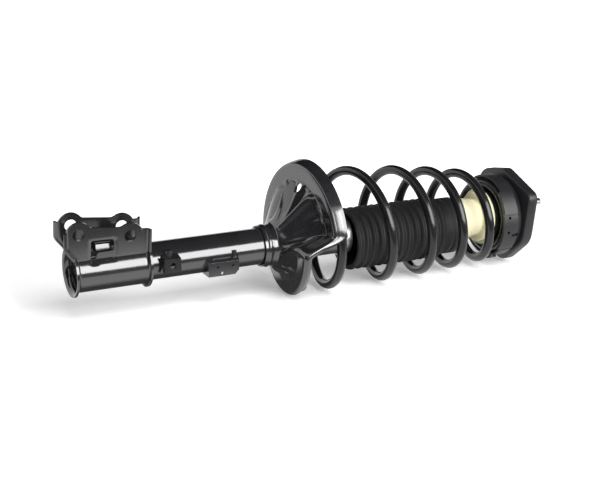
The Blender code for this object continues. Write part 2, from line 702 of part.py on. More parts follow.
def seat_x(turn):
    """The seat's helix follows the wire for most of a turn, then steps back down."""
    return mix(seat_helix(min(turn, SEAT_STEP_START)), seat_helix(SEAT_STEP_END - 1.0), step_share(turn))


def seat_floor(turn):
    return seat_x(turn) - WIRE / 2 - SEAT_COIL_CLEAR - SEAT_PAD - GAP


def rim_share(turn):
    """0 where the dish starts with a low rim, 1 where its rim has its full height."""
    grown = smooth((turn - SEAT_RIM_GROWS) / (SEAT_RIM_FULL - SEAT_RIM_GROWS))
    return grown - step_share(turn)


def seat_rib(turn, share):
    """Pressed ribs of the cone: raised towards the tube's foot between hollows."""
    waves = math.cos(2 * math.pi * 5 * (turn + 0.93))
    return SEAT_RIB * waves * math.sin(math.pi * share) ** 2


def seat_stations(turn):
    """(x, radius, share of the seat's lift) along the dish, from the collar to the rim."""
    floor = seat_floor(turn)
    neck_end = COLLAR_FOOT + COLLAR_LENGTH
    collar_r = TUBE_R + GAP
    stations = [
        (COLLAR_FOOT, collar_r + COLLAR_LIP, 0.0),
        (COLLAR_FOOT + COLLAR_LIP, collar_r, 0.0),
        (neck_end, collar_r, 0.0),
        (neck_end + 3.0, collar_r + 2.0, 0.03),
    ]
    for share in (0.2, 0.4, 0.6, 0.8):
        x = mix(neck_end + 3.0, floor, share) - seat_rib(turn, share)
        stations.append((x, mix(collar_r + 2.0, SEAT_FLOOR_IN, share), smooth(share)))
    stations += [
        (floor, SEAT_FLOOR_IN, 1.0),
        (floor, SEAT_FLOOR_OUT, 1.0),
        (floor + SEAT_CORNER, SEAT_FLOOR_OUT + SEAT_CORNER, 1.0),
        (seat_x(turn) + SEAT_RIM_PAST - SEAT_RIM_SHORT * (1 - rim_share(turn)),
         SEAT_FLOOR_OUT + SEAT_CORNER + mix(SEAT_LOW_FLARE, SEAT_RIM_FLARE, rim_share(turn)), 1.0),
    ]
    return stations


def seat_spot(turn, x, r, lift_share):
    angle = 2 * math.pi * turn
    return Vector((x, -r * math.sin(angle), SEAT_LIFT * lift_share + r * math.cos(angle)))


def make_seat(m):
    first = SEAT_STEP_END - 1.0
    bm = bmesh.new()
    rows = []
    for i in range(SEAT_SIDES):
        turn = first + i / SEAT_SIDES
        rows.append([bm.verts.new(seat_spot(turn, *s)) for s in seat_stations(turn)])
    for a, b in zip(rows, rows[1:] + rows[:1]):
        for i in range(len(a) - 1):
            bm.faces.new((a[i], b[i], b[i + 1], a[i + 1]))
    behind = Vector((COLLAR_FOOT, 0, SEAT_FLOOR_OUT))
    seat = sheet_object("spring_seat", bm, m["black_paint"], SEAT_SHEET, behind)
    drain = seat_spot(DRAIN_TURN, 0.0, mix(TUBE_R, SEAT_FLOOR_IN, DRAIN_SHARE), smooth(DRAIN_SHARE))
    drain.x = seat_floor(DRAIN_TURN)
    circle = [(drain.x, drain.y + py, drain.z + pz) for py, pz in arc((0, 0), DRAIN_R, 0, 330, 11)]
    combine(seat, prism("seat_drain", circle, (90, 0, 0), None), "DIFFERENCE")


def make_seat_pad(m):
    """Rubber strip between the seat's floor and the first coil."""
    bm = bmesh.new()
    first = SEAT_STEP_END - 1.0
    turns = [first + i / SEAT_SIDES for i in range(SEAT_SIDES)]
    turns = [t for t in turns if SEAT_PAD_START <= t <= SEAT_PAD_END]
    rows = []
    for turn in turns:
        low = seat_floor(turn) + GAP
        outer = SEAT_FLOOR_OUT - GAP
        inner = outer - SEAT_PAD_WIDTH
        corners = ((low, inner), (low + SEAT_PAD, inner), (low + SEAT_PAD, outer), (low, outer))
        rows.append([bm.verts.new(seat_spot(turn, x, r, 1.0)) for x, r in corners])
    for a, b in zip(rows, rows[1:]):
        for i in range(4):
            k = (i + 1) % 4
            bm.faces.new((a[i], b[i], b[k], a[k]))
    bm.faces.new(rows[0])
    bm.faces.new(rows[-1])
    add_object("lower_spring_pad", bm, m["boot_rubber"])


# ---------------------------------------------------------------- boot and bump stop

def make_boot(m):
    """Ribbed sleeve with a plain collar, hanging loose on the bump stop's neck."""
    bore = BUMP_NECK_R + GAP + BOOT_DROOP
    outer = [(BOOT_FOOT, bore), (BOOT_FOOT, RIB_R - 1.0)]
    for rib in range(BOOT_RIBS):
        x = BOOT_FOOT + RIB_PITCH * rib
        outer.append((x + RIB_PITCH * 0.30, RIB_R))
        outer.append((x + RIB_PITCH * 0.85, VALLEY_R))
    collar_r = bore + BOOT_WALL
    outer += [(BOOT_FOOT + RIB_PITCH * BOOT_RIBS + 2.0, collar_r), (COLLAR_END - 2.0, collar_r),
              (COLLAR_END, collar_r - 2.0), (COLLAR_END, bore)]
    boot = turned("dust_boot", outer, m["boot_rubber"])
    boot.location.z = -BOOT_DROOP * MM
    print(f"dust_boot: {BOOT_RIBS} ribs, {RIB_PITCH} mm apart")


def make_bump_stop(m):
    bore = ROD_R + BUMP_BORE_CLEAR
    cup_floor = CUP_END - CUP_FLOOR
    head_end = cup_floor - GAP
    groove_x = BUMP_TAPER_X + BUMP_TAPER_LENGTH
    head_x = groove_x + BUMP_GROOVE_LENGTH
    turned(
        "bump_stop",
        [(BUMP_FOOT, bore), (BUMP_FOOT, bore + 5.0), (BUMP_FOOT + 4, bore + 9.5),
         (BUMP_FOOT + 12, BUMP_NECK_R), (BUMP_TAPER_X, BUMP_NECK_R),
         *[(mix(BUMP_TAPER_X, groove_x, share), mix(BUMP_NECK_R, BUMP_GROOVE_R, share**1.5))
           for share in (0.3, 0.6, 0.85, 1.0)],
         (head_x, BUMP_GROOVE_R), (head_x, BUMP_HEAD_R - BUMP_HEAD_EDGE),
         (head_x + BUMP_HEAD_EDGE, BUMP_HEAD_R),
         (head_end, BUMP_HEAD_R), (head_end, bore)],
        m["bump_foam"],
    )
    wall_in = BUMP_HEAD_R + GAP
    wall_out = wall_in + CUP_WALL
    turned(
        "bump_stop_cup",
        [(CUP_END - CUP_LENGTH, wall_in), (CUP_END - CUP_LENGTH, wall_out), (CUP_END, wall_out),
         (CUP_END, bore), (cup_floor, bore), (cup_floor, wall_in)],
        m["black_paint"],
    )


# ---------------------------------------------------------------- upper mount

def make_upper_pad(m):
    """Rubber ring with a floor and an outer wall for the last coil, necked behind."""
    wall_in = TOP_COIL_R + WIRE / 2 + PAD_WALL_CLEAR
    seat = TOP_COIL_X + WIRE / 2 + GAP
    end = PLATE_X - GAP
    inner = BUMP_HEAD_R + CUP_WALL + 2 * GAP
    pad = turned(
        "upper_spring_pad",
        [(seat, inner), (seat, wall_in), (PAD_RING_X, wall_in), (PAD_RING_X, PAD_RING_R - PAD_EDGE),
         (PAD_RING_X + PAD_EDGE, PAD_RING_R), (PAD_RING_END - PAD_EDGE, PAD_RING_R),
         (PAD_RING_END, PAD_RING_R - PAD_EDGE), (PAD_RING_END, PAD_NECK_R), (end, PAD_NECK_R),
         (end, inner)],
        m["mount_rubber"],
    )
    start, stop = PAD_BLOCK_START, PAD_BLOCK_END
    section = arc((0, 0), PAD_RING_R + PAD_BLOCK_OUT, start, stop, 12)
    section += arc((0, 0), wall_in, stop, start, 12)
    front = PAD_RING_X - PAD_BLOCK_FRONT
    block = prism("pad_block", [(front, y, z) for y, z in section], (PAD_BLOCK_LENGTH, 0, 0), None,
                  centred=False)
    combine(pad, block, "UNION")


def make_mount(m):
    outline = rounded_outline(PLATE_CORNERS, PLATE_CORNER_R, 5)
    plate = prism("mount_plate", [(PLATE_X, y, z) for y, z in outline], (PLATE_THICK, 0, 0),
                  m["mount_rubber"], centred=False)
    soften = plate.modifiers.new("edge", "BEVEL")
    soften.width = PLATE_EDGE * MM
    soften.segments = 1
    soften.limit_method = "ANGLE"
    soften.angle_limit = math.radians(60)
    bore = [(PLATE_X, *p) for p in arc((0, 0), BUSH_R + GAP, 0, 351, 39)]
    back = Matrix.Translation((-PLATE_THICK, 0, 0))
    combine(plate, prism("bush_bore", bore, (3 * PLATE_THICK, 0, 0), None, back, False), "DIFFERENCE")
    sleeve_in = ROD_THREAD_R + GAP
    sleeve_out = sleeve_in + SLEEVE_WALL
    ring("bush_sleeve", PLATE_X, SLEEVE_END - PLATE_X, sleeve_in, sleeve_out, m["zinc_steel"],
         SMALL_SIDES)
    ring("mount_bush", PLATE_X + BUSH_RECESS, PLATE_THICK - 2 * BUSH_RECESS, sleeve_out + GAP,
         BUSH_R, m["seal_rubber"], ROUND_SIDES, 0.8)
    ring("top_washer", WASHER_X, TOP_WASHER_THICK, sleeve_in, TOP_WASHER_R, m["zinc_steel"],
         SMALL_SIDES, 0.6)
    hexagon_nut("top_nut", TOP_NUT_X, TOP_NUT_THICK, TOP_NUT_R, sleeve_in, m["zinc_steel"])
    make_studs(plate, m)


def make_studs(plate, m):
    """Three pressed-in studs: a collar on the plate's outer face and a thread beyond it."""
    face = PLATE_X + PLATE_THICK
    root_depth = 8.0
    for number, turn in enumerate((150, 270, 30), 1):
        y = STUD_PITCH_R * math.cos(math.radians(turn))
        z = STUD_PITCH_R * math.sin(math.radians(turn))
        hole = [(face, y + py, z + pz) for py, pz in arc((0, 0), STUD_R + GAP, 0, 345, 23)]
        reach = Matrix.Translation((-root_depth - GAP, 0, 0))
        cutter = prism(f"stud_hole_{number}", hole, (root_depth * 3, 0, 0), None, reach, False)
        combine(plate, cutter, "DIFFERENCE")
        stud = turned(
            f"body_stud_{number}",
            [(face - root_depth, 0), (face - root_depth, STUD_R), (face + GAP, STUD_R),
             (face + GAP, STUD_COLLAR_R), (face + GAP + STUD_COLLAR_THICK, STUD_COLLAR_R),
             (face + GAP + STUD_COLLAR_THICK, STUD_R), (face + STUD_LENGTH - 1.0, STUD_R),
             (face + STUD_LENGTH, STUD_R - 1.0), (face + STUD_LENGTH, 0)],
            m["zinc_steel"], 20,
        )
        stud.location = (0, y * MM, z * MM)


# ---------------------------------------------------------------- assembly

def main():
    for thing in list(bpy.data.objects):
        bpy.data.objects.remove(thing, do_unlink=True)
    m = make_materials()
    make_damper(m)
    make_rod(m)
    make_bracket(m)
    make_hose_bracket(m)
    make_wire_bracket(m)
    make_spring(m)
    make_seat(m)
    make_seat_pad(m)
    make_boot(m)
    make_bump_stop(m)
    make_upper_pad(m)
    make_mount(m)


main()
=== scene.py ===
# %% [markdown]
# # Strut assembly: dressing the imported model
# This notebook dresses a packed mechanical model of a suspension strut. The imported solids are
# exact but plain and faceted, so they could be painted as they are. Here the pieces that catch
# the light are modelled again with fine surfaces, in the same places, and every piece gets a
# finish made of shader nodes. The damper's axis is X, Z is up, and the strut lies on its side.

# %% Setup
import json
import math

import bmesh
import bpy
from mathutils import Matrix, Vector

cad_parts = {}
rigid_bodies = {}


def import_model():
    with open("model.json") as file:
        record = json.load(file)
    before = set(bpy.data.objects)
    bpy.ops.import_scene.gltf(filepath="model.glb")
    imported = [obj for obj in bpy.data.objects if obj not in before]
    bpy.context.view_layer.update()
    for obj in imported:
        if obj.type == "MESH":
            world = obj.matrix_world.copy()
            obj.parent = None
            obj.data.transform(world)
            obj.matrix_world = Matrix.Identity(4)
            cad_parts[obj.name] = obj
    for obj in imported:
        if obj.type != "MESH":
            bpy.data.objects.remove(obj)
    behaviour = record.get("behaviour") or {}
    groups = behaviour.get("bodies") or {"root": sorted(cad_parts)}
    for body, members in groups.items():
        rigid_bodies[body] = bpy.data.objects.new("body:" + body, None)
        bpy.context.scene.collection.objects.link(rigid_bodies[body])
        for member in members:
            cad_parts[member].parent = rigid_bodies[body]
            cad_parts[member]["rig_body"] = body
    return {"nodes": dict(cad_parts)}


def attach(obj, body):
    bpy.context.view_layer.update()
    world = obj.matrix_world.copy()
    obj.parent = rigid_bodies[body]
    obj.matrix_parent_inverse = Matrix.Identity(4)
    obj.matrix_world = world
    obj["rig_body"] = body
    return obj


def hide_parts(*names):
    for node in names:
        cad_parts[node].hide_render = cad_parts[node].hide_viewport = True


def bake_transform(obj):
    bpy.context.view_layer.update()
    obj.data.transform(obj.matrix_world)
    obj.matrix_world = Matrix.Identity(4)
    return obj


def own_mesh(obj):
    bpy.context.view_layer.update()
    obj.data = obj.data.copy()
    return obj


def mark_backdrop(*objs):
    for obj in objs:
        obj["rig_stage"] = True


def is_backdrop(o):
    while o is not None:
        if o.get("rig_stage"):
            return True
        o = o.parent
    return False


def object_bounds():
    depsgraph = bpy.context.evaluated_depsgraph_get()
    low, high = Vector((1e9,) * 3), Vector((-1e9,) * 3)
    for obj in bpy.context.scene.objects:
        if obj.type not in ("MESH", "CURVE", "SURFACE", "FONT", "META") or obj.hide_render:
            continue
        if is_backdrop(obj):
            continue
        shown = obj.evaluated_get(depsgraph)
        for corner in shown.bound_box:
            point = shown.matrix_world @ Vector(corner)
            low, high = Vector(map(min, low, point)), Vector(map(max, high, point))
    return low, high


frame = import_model()


def corners():
    """The whole object's lowest and highest corner as plain lists."""
    return [[float(c) for c in corner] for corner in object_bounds()[:2]]


cad_box = corners()
MM = 0.001
print("CAD box:", cad_box)

# %% [markdown]
# ## Camera
# The photo is a studio shot with a medium lens. The camera's place was worked out from the tube's
# straight edges and the bolt holes, so a real camera with that lens, standing there, gives the
# same perspective. A camera that only looked at the middle would get the vanishing point wrong.

# %% Camera
CAMERA_PLACE = (-0.39796, -1.34719, 0.43392)
CAMERA_TILT = (73.846, 0.0, -26.301)
LENS, SENSOR = 80.543, 36.0

scene = bpy.context.scene
camera = bpy.data.objects.new("camera", bpy.data.cameras.new("camera"))
camera.data.lens, camera.data.sensor_width = LENS, SENSOR
camera.location = CAMERA_PLACE
camera.rotation_euler = [math.radians(a) for a in CAMERA_TILT]
scene.collection.objects.link(camera)
scene.camera = camera
scene.view_settings.view_transform = "Standard"
print("camera at", CAMERA_PLACE, "with a", LENS, "mm lens")

# %% [markdown]
# ## Shader maths as Python
# A material's pattern is arithmetic on noise and positions. Adding each Math node by hand hides
# that arithmetic, so a small class wraps a socket and turns +, - and * into Math nodes, also with
# a number on the left. Every other node comes from one method that takes the node's type, its
# settings and its inputs.


# %% Socket class
class Value:
    """A number that varies over a surface: a node's output socket with arithmetic."""

    def __init__(self, finish, socket):
        self.finish, self.socket = finish, socket

    def math(self, operation, *others, swap=False):
        terms = [self, *others]
        if swap:
            terms.reverse()
        inputs = dict(enumerate(terms))
        return self.finish.node("ShaderNodeMath", {"operation": operation}, inputs)

    def __add__(self, other):
        return self.math("ADD", other)

    __radd__ = __add__

    def __sub__(self, other):
        return self.math("SUBTRACT", other)

    def __rsub__(self, other):
        return self.math("SUBTRACT", other, swap=True)

    def __mul__(self, other):
        return self.math("MULTIPLY", other)

    __rmul__ = __mul__

    def between(self, low, high):
        """0 below `low`, 1 above `high` and smooth in between."""
        settings = {"interpolation_type": "SMOOTHSTEP"}
        inputs = {"Value": self, "From Min": low, "From Max": high}
        return self.finish.node("ShaderNodeMapRange", settings, inputs)


class Finish:
    """One procedural material: a Principled shader and the nodes that feed it."""

    def __init__(self, name, **constants):
        self.material = bpy.data.materials.new(name)
        self.material.use_nodes = True
        self.tree = self.material.node_tree
        self.shader = self.tree.nodes["Principled BSDF"]
        for socket, value in constants.items():
            self.shader.inputs[socket.replace("_", " ")].default_value = value

    def node(self, kind, settings=None, inputs=None, output=0):
        made = self.tree.nodes.new(kind)
        for key, value in (settings or {}).items():
            setattr(made, key, value)
        for key, value in (inputs or {}).items():
            if isinstance(value, Value):
                self.tree.links.new(value.socket, made.inputs[key])
            else:
                made.inputs[key].default_value = value
        return Value(self, made.outputs[output])

    def place(self, stretch=(1.0, 1.0, 1.0)):
        """Object coordinates in millimetres, stretched along each axis."""
        spot = self.node("ShaderNodeTexCoord", output=3)
        scale = tuple(s / MM for s in stretch)
        return self.node("ShaderNodeVectorMath", {"operation": "MULTIPLY"}, {0: spot, 1: scale})

    def noise(self, size, detail=3.0, roughness=0.5, stretch=(1.0, 1.0, 1.0)):
        """Cloudy noise from 0 to 1 whose blotches are about `size` millimetres."""
        inputs = {"Vector": self.place(stretch), "Scale": 1.0 / size, "Detail": detail,
                  "Roughness": roughness}
        return self.node("ShaderNodeTexNoise", {}, inputs)

    def colours(self, share, low, high):
        """The colour `low` where the share is 0 and `high` where it is 1."""
        inputs = {0: share, 6: (*low, 1.0), 7: (*high, 1.0)}
        return self.node("ShaderNodeMix", {"data_type": "RGBA"}, inputs, output=2)

    def set(self, **links):
        for socket, value in links.items():
            self.tree.links.new(value.socket, self.shader.inputs[socket.replace("_", " ")])

    def bump(self, height, distance, strength=1.0):
        """Raise the surface by `height` times `distance` millimetres in its shading only."""
        inputs = {"Height": height, "Distance": distance * MM, "Strength": strength}
        self.set(Normal=self.node("ShaderNodeBump", {}, inputs))


# %% [markdown]
# ## Light
# Black gloss paint shows only what it reflects. The photo's tube has one bright band with crisp
# edges, black above it and mid grey below: a tall soft box in front, a dark ceiling, and white
# paper close beside it. A light painted into the material would stay still when the object turns,
# so the scene has real cards and lamps instead. Each kind of ray may meet a light of its own, so
# two small functions mix shaders by the kind of ray.

# %% Shader mixing
FLOOR_Z = cad_box[0][2]
WHITE = (1.0, 1.0, 1.0, 1.0)


def link_shader(tree, factor, first, second):
    """Mix two shaders by a factor socket and return the mix's output."""
    choose = tree.nodes.new("ShaderNodeMixShader")
    for place, socket in enumerate((factor, first, second)):
        tree.links.new(socket, choose.inputs[place])
    return choose.outputs[0]


def seen_share(tree, *rays):
    """1 for the named kinds of ray and 0 for all others."""
    path = tree.nodes.new("ShaderNodeLightPath")
    share = path.outputs[rays[0]]
    for ray in rays[1:]:
        either = tree.nodes.new("ShaderNodeMath")
        either.operation = "MAXIMUM"
        tree.links.new(share, either.inputs[0])
        tree.links.new(path.outputs[ray], either.inputs[1])
        share = either.outputs[0]
    return share


print("floor at", round(FLOOR_Z, 4), "m")

# %% [markdown]
# ## World and floor
# One white surround can't do everything: as bright as the backdrop, it would wash the paint out.
# So the world and the floor answer each kind of ray on its own. The camera sees white with the
# strut's shadow, except left of the bracket's foot, where the floor's glow is painted light that
# whitens the bracket's own shadow. Glossy paint sees a strip of white paper beside the strut, a
# painted shadow under it and dark floor beyond it, and all other rays get a weak even light.

# %% World and floor
AMBIENT = 0.26
VIEW_RAYS = ("Is Camera Ray", "Is Glossy Ray", "Is Transmission Ray")
world = bpy.data.worlds.new("studio")
scene.world = world
world.use_nodes = True
tree = world.node_tree
ambient, horizon = tree.nodes["Background"], tree.nodes.new("ShaderNodeBackground")
for light, strength in ((ambient, AMBIENT), (horizon, 1.0)):
    light.inputs["Color"].default_value = WHITE
    light.inputs["Strength"].default_value = strength
sky = link_shader(tree, seen_share(tree, *VIEW_RAYS), ambient.outputs[0], horizon.outputs[0])
tree.links.new(sky, tree.nodes["World Output"].inputs["Surface"])


def card(name, places):
    """A flat piece of the studio from four corner places in metres."""
    mesh = bpy.data.meshes.new(name)
    mesh.from_pydata(places, [], [(0, 1, 2, 3)])
    thing = bpy.data.objects.new(name, mesh)
    scene.collection.objects.link(thing)
    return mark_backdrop(thing) or thing


def level(low, high, z):
    """The four corners of a level rectangle."""
    return [(low[0], low[1], z), (high[0], low[1], z), (high[0], high[1], z), (low[0], high[1], z)]


floor = card("floor", level((-9.0, -6.0), (9.0, 9.0), FLOOR_Z))
floor_paint = Finish("floor_paint", Roughness=0.9, Specular_IOR_Level=0.0)
shade = floor_paint.noise(400.0, 2.0)
floor_paint.set(Base_Color=floor_paint.colours(shade, (0.93, 0.93, 0.94), (0.95, 0.95, 0.95)))
spot = floor_paint.node("ShaderNodeTexCoord", output=3)
along = floor_paint.node("ShaderNodeSeparateXYZ", {}, {0: spot}, output=0)
depth = floor_paint.node("ShaderNodeSeparateXYZ", {}, {0: spot}, output=1)


def floor_distance(stretch, shift):
    """Distance on the floor from an oval's middle, as a share of the oval."""
    oval = floor_paint.node("ShaderNodeVectorMath", {"operation": "MULTIPLY_ADD"},
                            {0: spot, 1: stretch, 2: shift})
    return floor_paint.node("ShaderNodeVectorMath", {"operation": "LENGTH"}, {0: oval}, output=1)


def glowing(base, share, low):
    """A matt shader of one grey that also glows, from the grey `low` to white along the share."""
    glow = floor_paint.colours(share, (low, low, low), (1.0, 1.0, 1.0))
    return floor_paint.node("ShaderNodeBsdfPrincipled", {}, {
        "Base Color": (base, base, base, 1.0), "Roughness": 0.9, "Specular IOR Level": 0.0,
        "Emission Color": glow, "Emission Strength": 1.0}).socket


from_strut = floor_distance((1.6, 2.4, 0.0), (-0.45, 0.1, 0.0))
beside = floor_distance((0.16, 1.0, 0.0), (-0.02, -0.02, 0.0))
# The floor glows white away from the strut, and also left of the bracket's foot, where this glow is
# painted light over the bracket's cast shadow
clear_floor_and_painted_light = from_strut.between(0.75, 1.5) + (1.0 - along.between(-0.13, -0.03))
# Glossy rays see the paper as white, except a narrow band under the strut that is painted dark as the
# strut's shadow
paper_and_painted_shadow = depth.between(-0.20, -0.125) * beside.between(0.035, 0.07)
backdrop = glowing(1.15, clear_floor_and_painted_light, 0.20)
mirrored = glowing(0.0, paper_and_painted_shadow, 0.10)
tree = floor_paint.tree
seen = link_shader(tree, seen_share(tree, VIEW_RAYS[0]), floor_paint.shader.outputs[0], backdrop)
seen = link_shader(tree, seen_share(tree, *VIEW_RAYS[1:]), seen, mirrored)
tree.links.new(seen, tree.nodes["Material Output"].inputs["Surface"])
floor.data.materials.append(floor_paint.material)
print("ambient light", AMBIENT, "floor_paint nodes:", len(tree.nodes))

# %% [markdown]
# ## Dark cards and lamps
# In a studio, black cloth keeps the ceiling out of the paint and soft boxes draw the bright bands.
# The cards are hidden from every ray but the glossy ones. The lamp overhead does the opposite: it
# is hidden from reflections, where it would draw a second band, and gives the floor its shadow.

# %% Cards and lamps
CARD_Z, WALL_TOP = 1.5, 1.3
cards = (
    card("dark_ceiling", level((-0.45, -1.8), (5.5, 5.2), CARD_Z)),
    card("dark_flag", level((-3.0, -1.0), (-1.2, 1.4), CARD_Z)),
    card("dark_side", [(-0.75, -1.9, FLOOR_Z), (-1.5, 0.0, FLOOR_Z), (-1.5, 0.0, WALL_TOP),
                       (-0.75, -1.9, WALL_TOP)]),
)
black_cloth = Finish("ceiling_cloth", Roughness=1.0, Specular_IOR_Level=0.0)
weave = black_cloth.noise(60.0, 2.0)
black_cloth.set(Base_Color=black_cloth.colours(weave, (0.003, 0.003, 0.003), (0.006, 0.006, 0.006)))
for thing in cards:
    thing.data.materials.append(black_cloth.material)
    for ray in ("camera", "diffuse", "shadow", "transmission", "volume_scatter"):
        setattr(thing, "visible_" + ray, False)

MIDDLE = Vector((0.28, 0.0, 0.0))


def soft_box(name, place, size, watts):
    """A rectangular lamp that looks from `place` to the strut's middle."""
    lamp = bpy.data.lights.new(name, "AREA")
    lamp.shape = "RECTANGLE"
    lamp.size, lamp.size_y = size
    lamp.energy = watts
    thing = bpy.data.objects.new(name, lamp)
    thing.location = place
    thing.rotation_euler = (MIDDLE - Vector(place)).to_track_quat("-Z", "Y").to_euler()
    scene.collection.objects.link(thing)
    return thing


lamps = (
    soft_box("front_box", (1.25, -1.95, 0.70), (1.9, 1.52), 52.0),
    soft_box("side_box", (0.22, -2.25, 0.70), (0.62, 1.3), 15.0),
    soft_box("top_box", (0.20, -1.10, 1.25), (1.2, 0.6), 17.0),
)
lamps[-1].visible_glossy = False
print("cards:", len(cards), "lamps:", len(lamps))

# %% [markdown]
# ## Finishes
# Each finish has its own cause of unevenness. Electro-dipped paint has a slight orange peel and
# dust; powder coat on the spring is a little rougher; moulded rubber is matt with a bloom; foam is
# full of tiny cells; zinc is brushed and cloudy. A single colour would look like plastic.

# %% Paints
INK = (0.0105, 0.0105, 0.0115)


def black_paint():
    paint = Finish("black_paint", IOR=2.05)
    peel = paint.noise(1.6, 2.0)
    cloud = paint.noise(24.0, 3.0)
    dust = paint.noise(0.8, 4.0, 0.65).between(0.66, 0.80)
    paint.set(
        Base_Color=paint.colours(cloud * 0.6 + dust * 0.12, INK, (0.024, 0.024, 0.026)),
        Roughness=0.115 + cloud * 0.06 + dust * 0.03,
    )
    paint.bump(peel * 0.6 + cloud * 0.4, 0.008)
    return paint.material


def spring_coat():
    coat = Finish("spring_coat", IOR=1.53)
    grain = coat.noise(0.9, 3.0, 0.6)
    cloud = coat.noise(18.0, 2.0)
    coat.set(
        Base_Color=coat.colours(cloud, (0.006, 0.006, 0.0065), (0.012, 0.012, 0.013)),
        Roughness=0.13 + grain * 0.05 + cloud * 0.05,
    )
    coat.bump(grain, 0.03)
    return coat.material


def moulded_rubber(name, low, high, base_roughness, grain_size, ior):
    rubber = Finish(name, IOR=ior)
    bloom = rubber.noise(14.0, 4.0, 0.6)
    grain = rubber.noise(grain_size, 3.0, 0.7)
    rubber.set(
        Base_Color=rubber.colours(bloom * 0.7 + grain * 0.3, low, high),
        Roughness=base_roughness + bloom * 0.12 + grain * 0.06,
    )
    rubber.bump(grain * 0.7 + bloom * 0.3, 0.08)
    return rubber.material


def bump_foam():
    foam = Finish("bump_foam", IOR=1.45)
    cells = foam.node("ShaderNodeTexVoronoi", {}, {"Vector": foam.place(), "Scale": 1.1})
    cloud = foam.noise(9.0, 3.0)
    stain = foam.noise(30.0, 3.0).between(0.45, 0.75)
    foam.set(
        Base_Color=foam.colours(cloud * 0.5 + stain * 0.4, (0.93, 0.88, 0.63), (0.80, 0.73, 0.43)),
        Roughness=0.50 + cloud * 0.12,
    )
    foam.bump(cells, 0.12, 0.7)
    return foam.material


def plated_steel(name, low, high, base_roughness, stretch):
    steel = Finish(name, Metallic=1.0)
    brushed = steel.noise(1.2, 3.0, 0.6, stretch)
    cloud = steel.noise(11.0, 3.0)
    steel.set(
        Base_Color=steel.colours(cloud * 0.6 + brushed * 0.4, low, high),
        Roughness=base_roughness + brushed * 0.10 + cloud * 0.08,
    )
    steel.bump(brushed, 0.015)
    return steel.material


TURNED = (0.15, 1.0, 1.0)
ROLLED = (1.0, 0.12, 0.12)
finishes = {"black_paint": black_paint(), "spring_coat": spring_coat(), "bump_foam": bump_foam()}
# Each row: name, dark and light colour, roughness, size of the grain, and index of refraction
for name, *look in (
    ("boot_rubber", (0.010, 0.010, 0.010), (0.019, 0.0195, 0.019), 0.50, 0.7, 1.38),
    ("mount_rubber", (0.009, 0.009, 0.010), (0.020, 0.020, 0.022), 0.33, 0.8, 1.5),
    ("seal_rubber", (0.014, 0.014, 0.015), (0.026, 0.026, 0.027), 0.42, 0.6, 1.38),
):
    finishes[name] = moulded_rubber(name, *look)
for name, *look in (
    ("zinc_steel", (0.50, 0.51, 0.52), (0.70, 0.71, 0.72), 0.24, TURNED),
    ("chrome_rod", (0.74, 0.75, 0.76), (0.84, 0.85, 0.86), 0.06, TURNED),
    ("bare_steel", (0.34, 0.34, 0.35), (0.48, 0.48, 0.49), 0.32, ROLLED),
):
    finishes[name] = plated_steel(name, *look)
print("finishes:", ", ".join(finishes))

# %% [markdown]
# ## Mesh helpers
# Round pieces are profiles spun about the damper's axis with 120 sides, so that no facet shows on
# the outline. Pressed pieces are grids given a thickness. Folded pieces whose shape is already
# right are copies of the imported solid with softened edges, because a real sheet has no knife edge
# and a softened edge is what catches a thin line of light.

# %% Mesh helpers
FINE = 120
SHARP = 32.0
FIT = 0.3  # gap left between pieces that touch, in millimetres


def dress(thing, slot_name, body, *nodes):
    """Give a piece its finish, its body, if it rides on one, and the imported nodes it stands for."""
    thing.data.materials.clear()
    thing.data.materials.append(finishes[slot_name])
    if body:
        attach(thing, body)
    if nodes:
        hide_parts(*nodes)
    return thing


def metres(place):
    """A place or a step in millimetres, in Blender's metres."""
    return [c * MM for c in place]


def mesh_object(name, bm, sharp=SHARP):
    """Turn a bmesh into a smooth object with its sharp edges marked."""
    bmesh.ops.remove_doubles(bm, verts=bm.verts, dist=1e-6)
    bmesh.ops.recalc_face_normals(bm, faces=bm.faces)
    mesh = bpy.data.meshes.new(name)
    bm.to_mesh(mesh)
    bm.free()
    mesh.shade_smooth()
    mesh.set_sharp_from_angle(angle=math.radians(sharp))
    thing = bpy.data.objects.new(name, mesh)
    scene.collection.objects.link(thing)
    return thing


def skin(bm, rows, ring=False, closed=False):
    """Join neighbouring rows of corners by faces.

    `ring` also joins the two ends of each row, and `closed` the last row to the first."""
    for a, b in zip(rows, rows[1:] + rows[:1] if closed else rows[1:]):
        for i in range(len(a) if ring else len(a) - 1):
            k = (i + 1) % len(a)
            bm.faces.new((a[i], a[k], b[k], b[i]))


def turned(name, profile, sides=FINE, sharp=SHARP):
    """Spin a closed outline of (x, radius) points in millimetres about the damper's axis."""
    bm = bmesh.new()
    rows = []
    for k in range(sides):
        a = 2 * math.pi * k / sides
        c, s = math.cos(a) * MM, math.sin(a) * MM
        rows.append([bm.verts.new((x * MM, r * s, r * c)) for x, r in profile])
    skin(bm, rows, ring=True, closed=True)
    bmesh.ops.remove_doubles(bm, verts=bm.verts, dist=1e-6)
    bmesh.ops.dissolve_degenerate(bm, edges=bm.edges, dist=1e-7)
    return mesh_object(name, bm, sharp)


def rounded(profile, radius, steps=3):
    """The same outline with its corners rounded, where the edges are long enough."""
    points = []
    count = len(profile)
    for i, corner in enumerate(profile):
        here = Vector(corner)
        back, ahead = Vector(profile[i - 1]) - here, Vector(profile[(i + 1) % count]) - here
        reach = min(radius, back.length * 0.4, ahead.length * 0.4)
        if here.y < 1e-6 or reach < 0.05:
            points.append(tuple(here))
            continue
        a, b = here + back.normalized() * reach, here + ahead.normalized() * reach
        for k in range(steps + 1):
            t = k / steps
            points.append(tuple(a * (1 - t) ** 2 + here * 2 * t * (1 - t) + b * t**2))
    return points


def smooth(share):
    share = min(max(share, 0.0), 1.0)
    return share * share * (3 - 2 * share)


def mix(low, high, share):
    return low + (high - low) * share


def bell(value, middle, width):
    """1 at `middle`, fading to 0 about `width` away."""
    return math.exp(-(((value - middle) / width) ** 2))


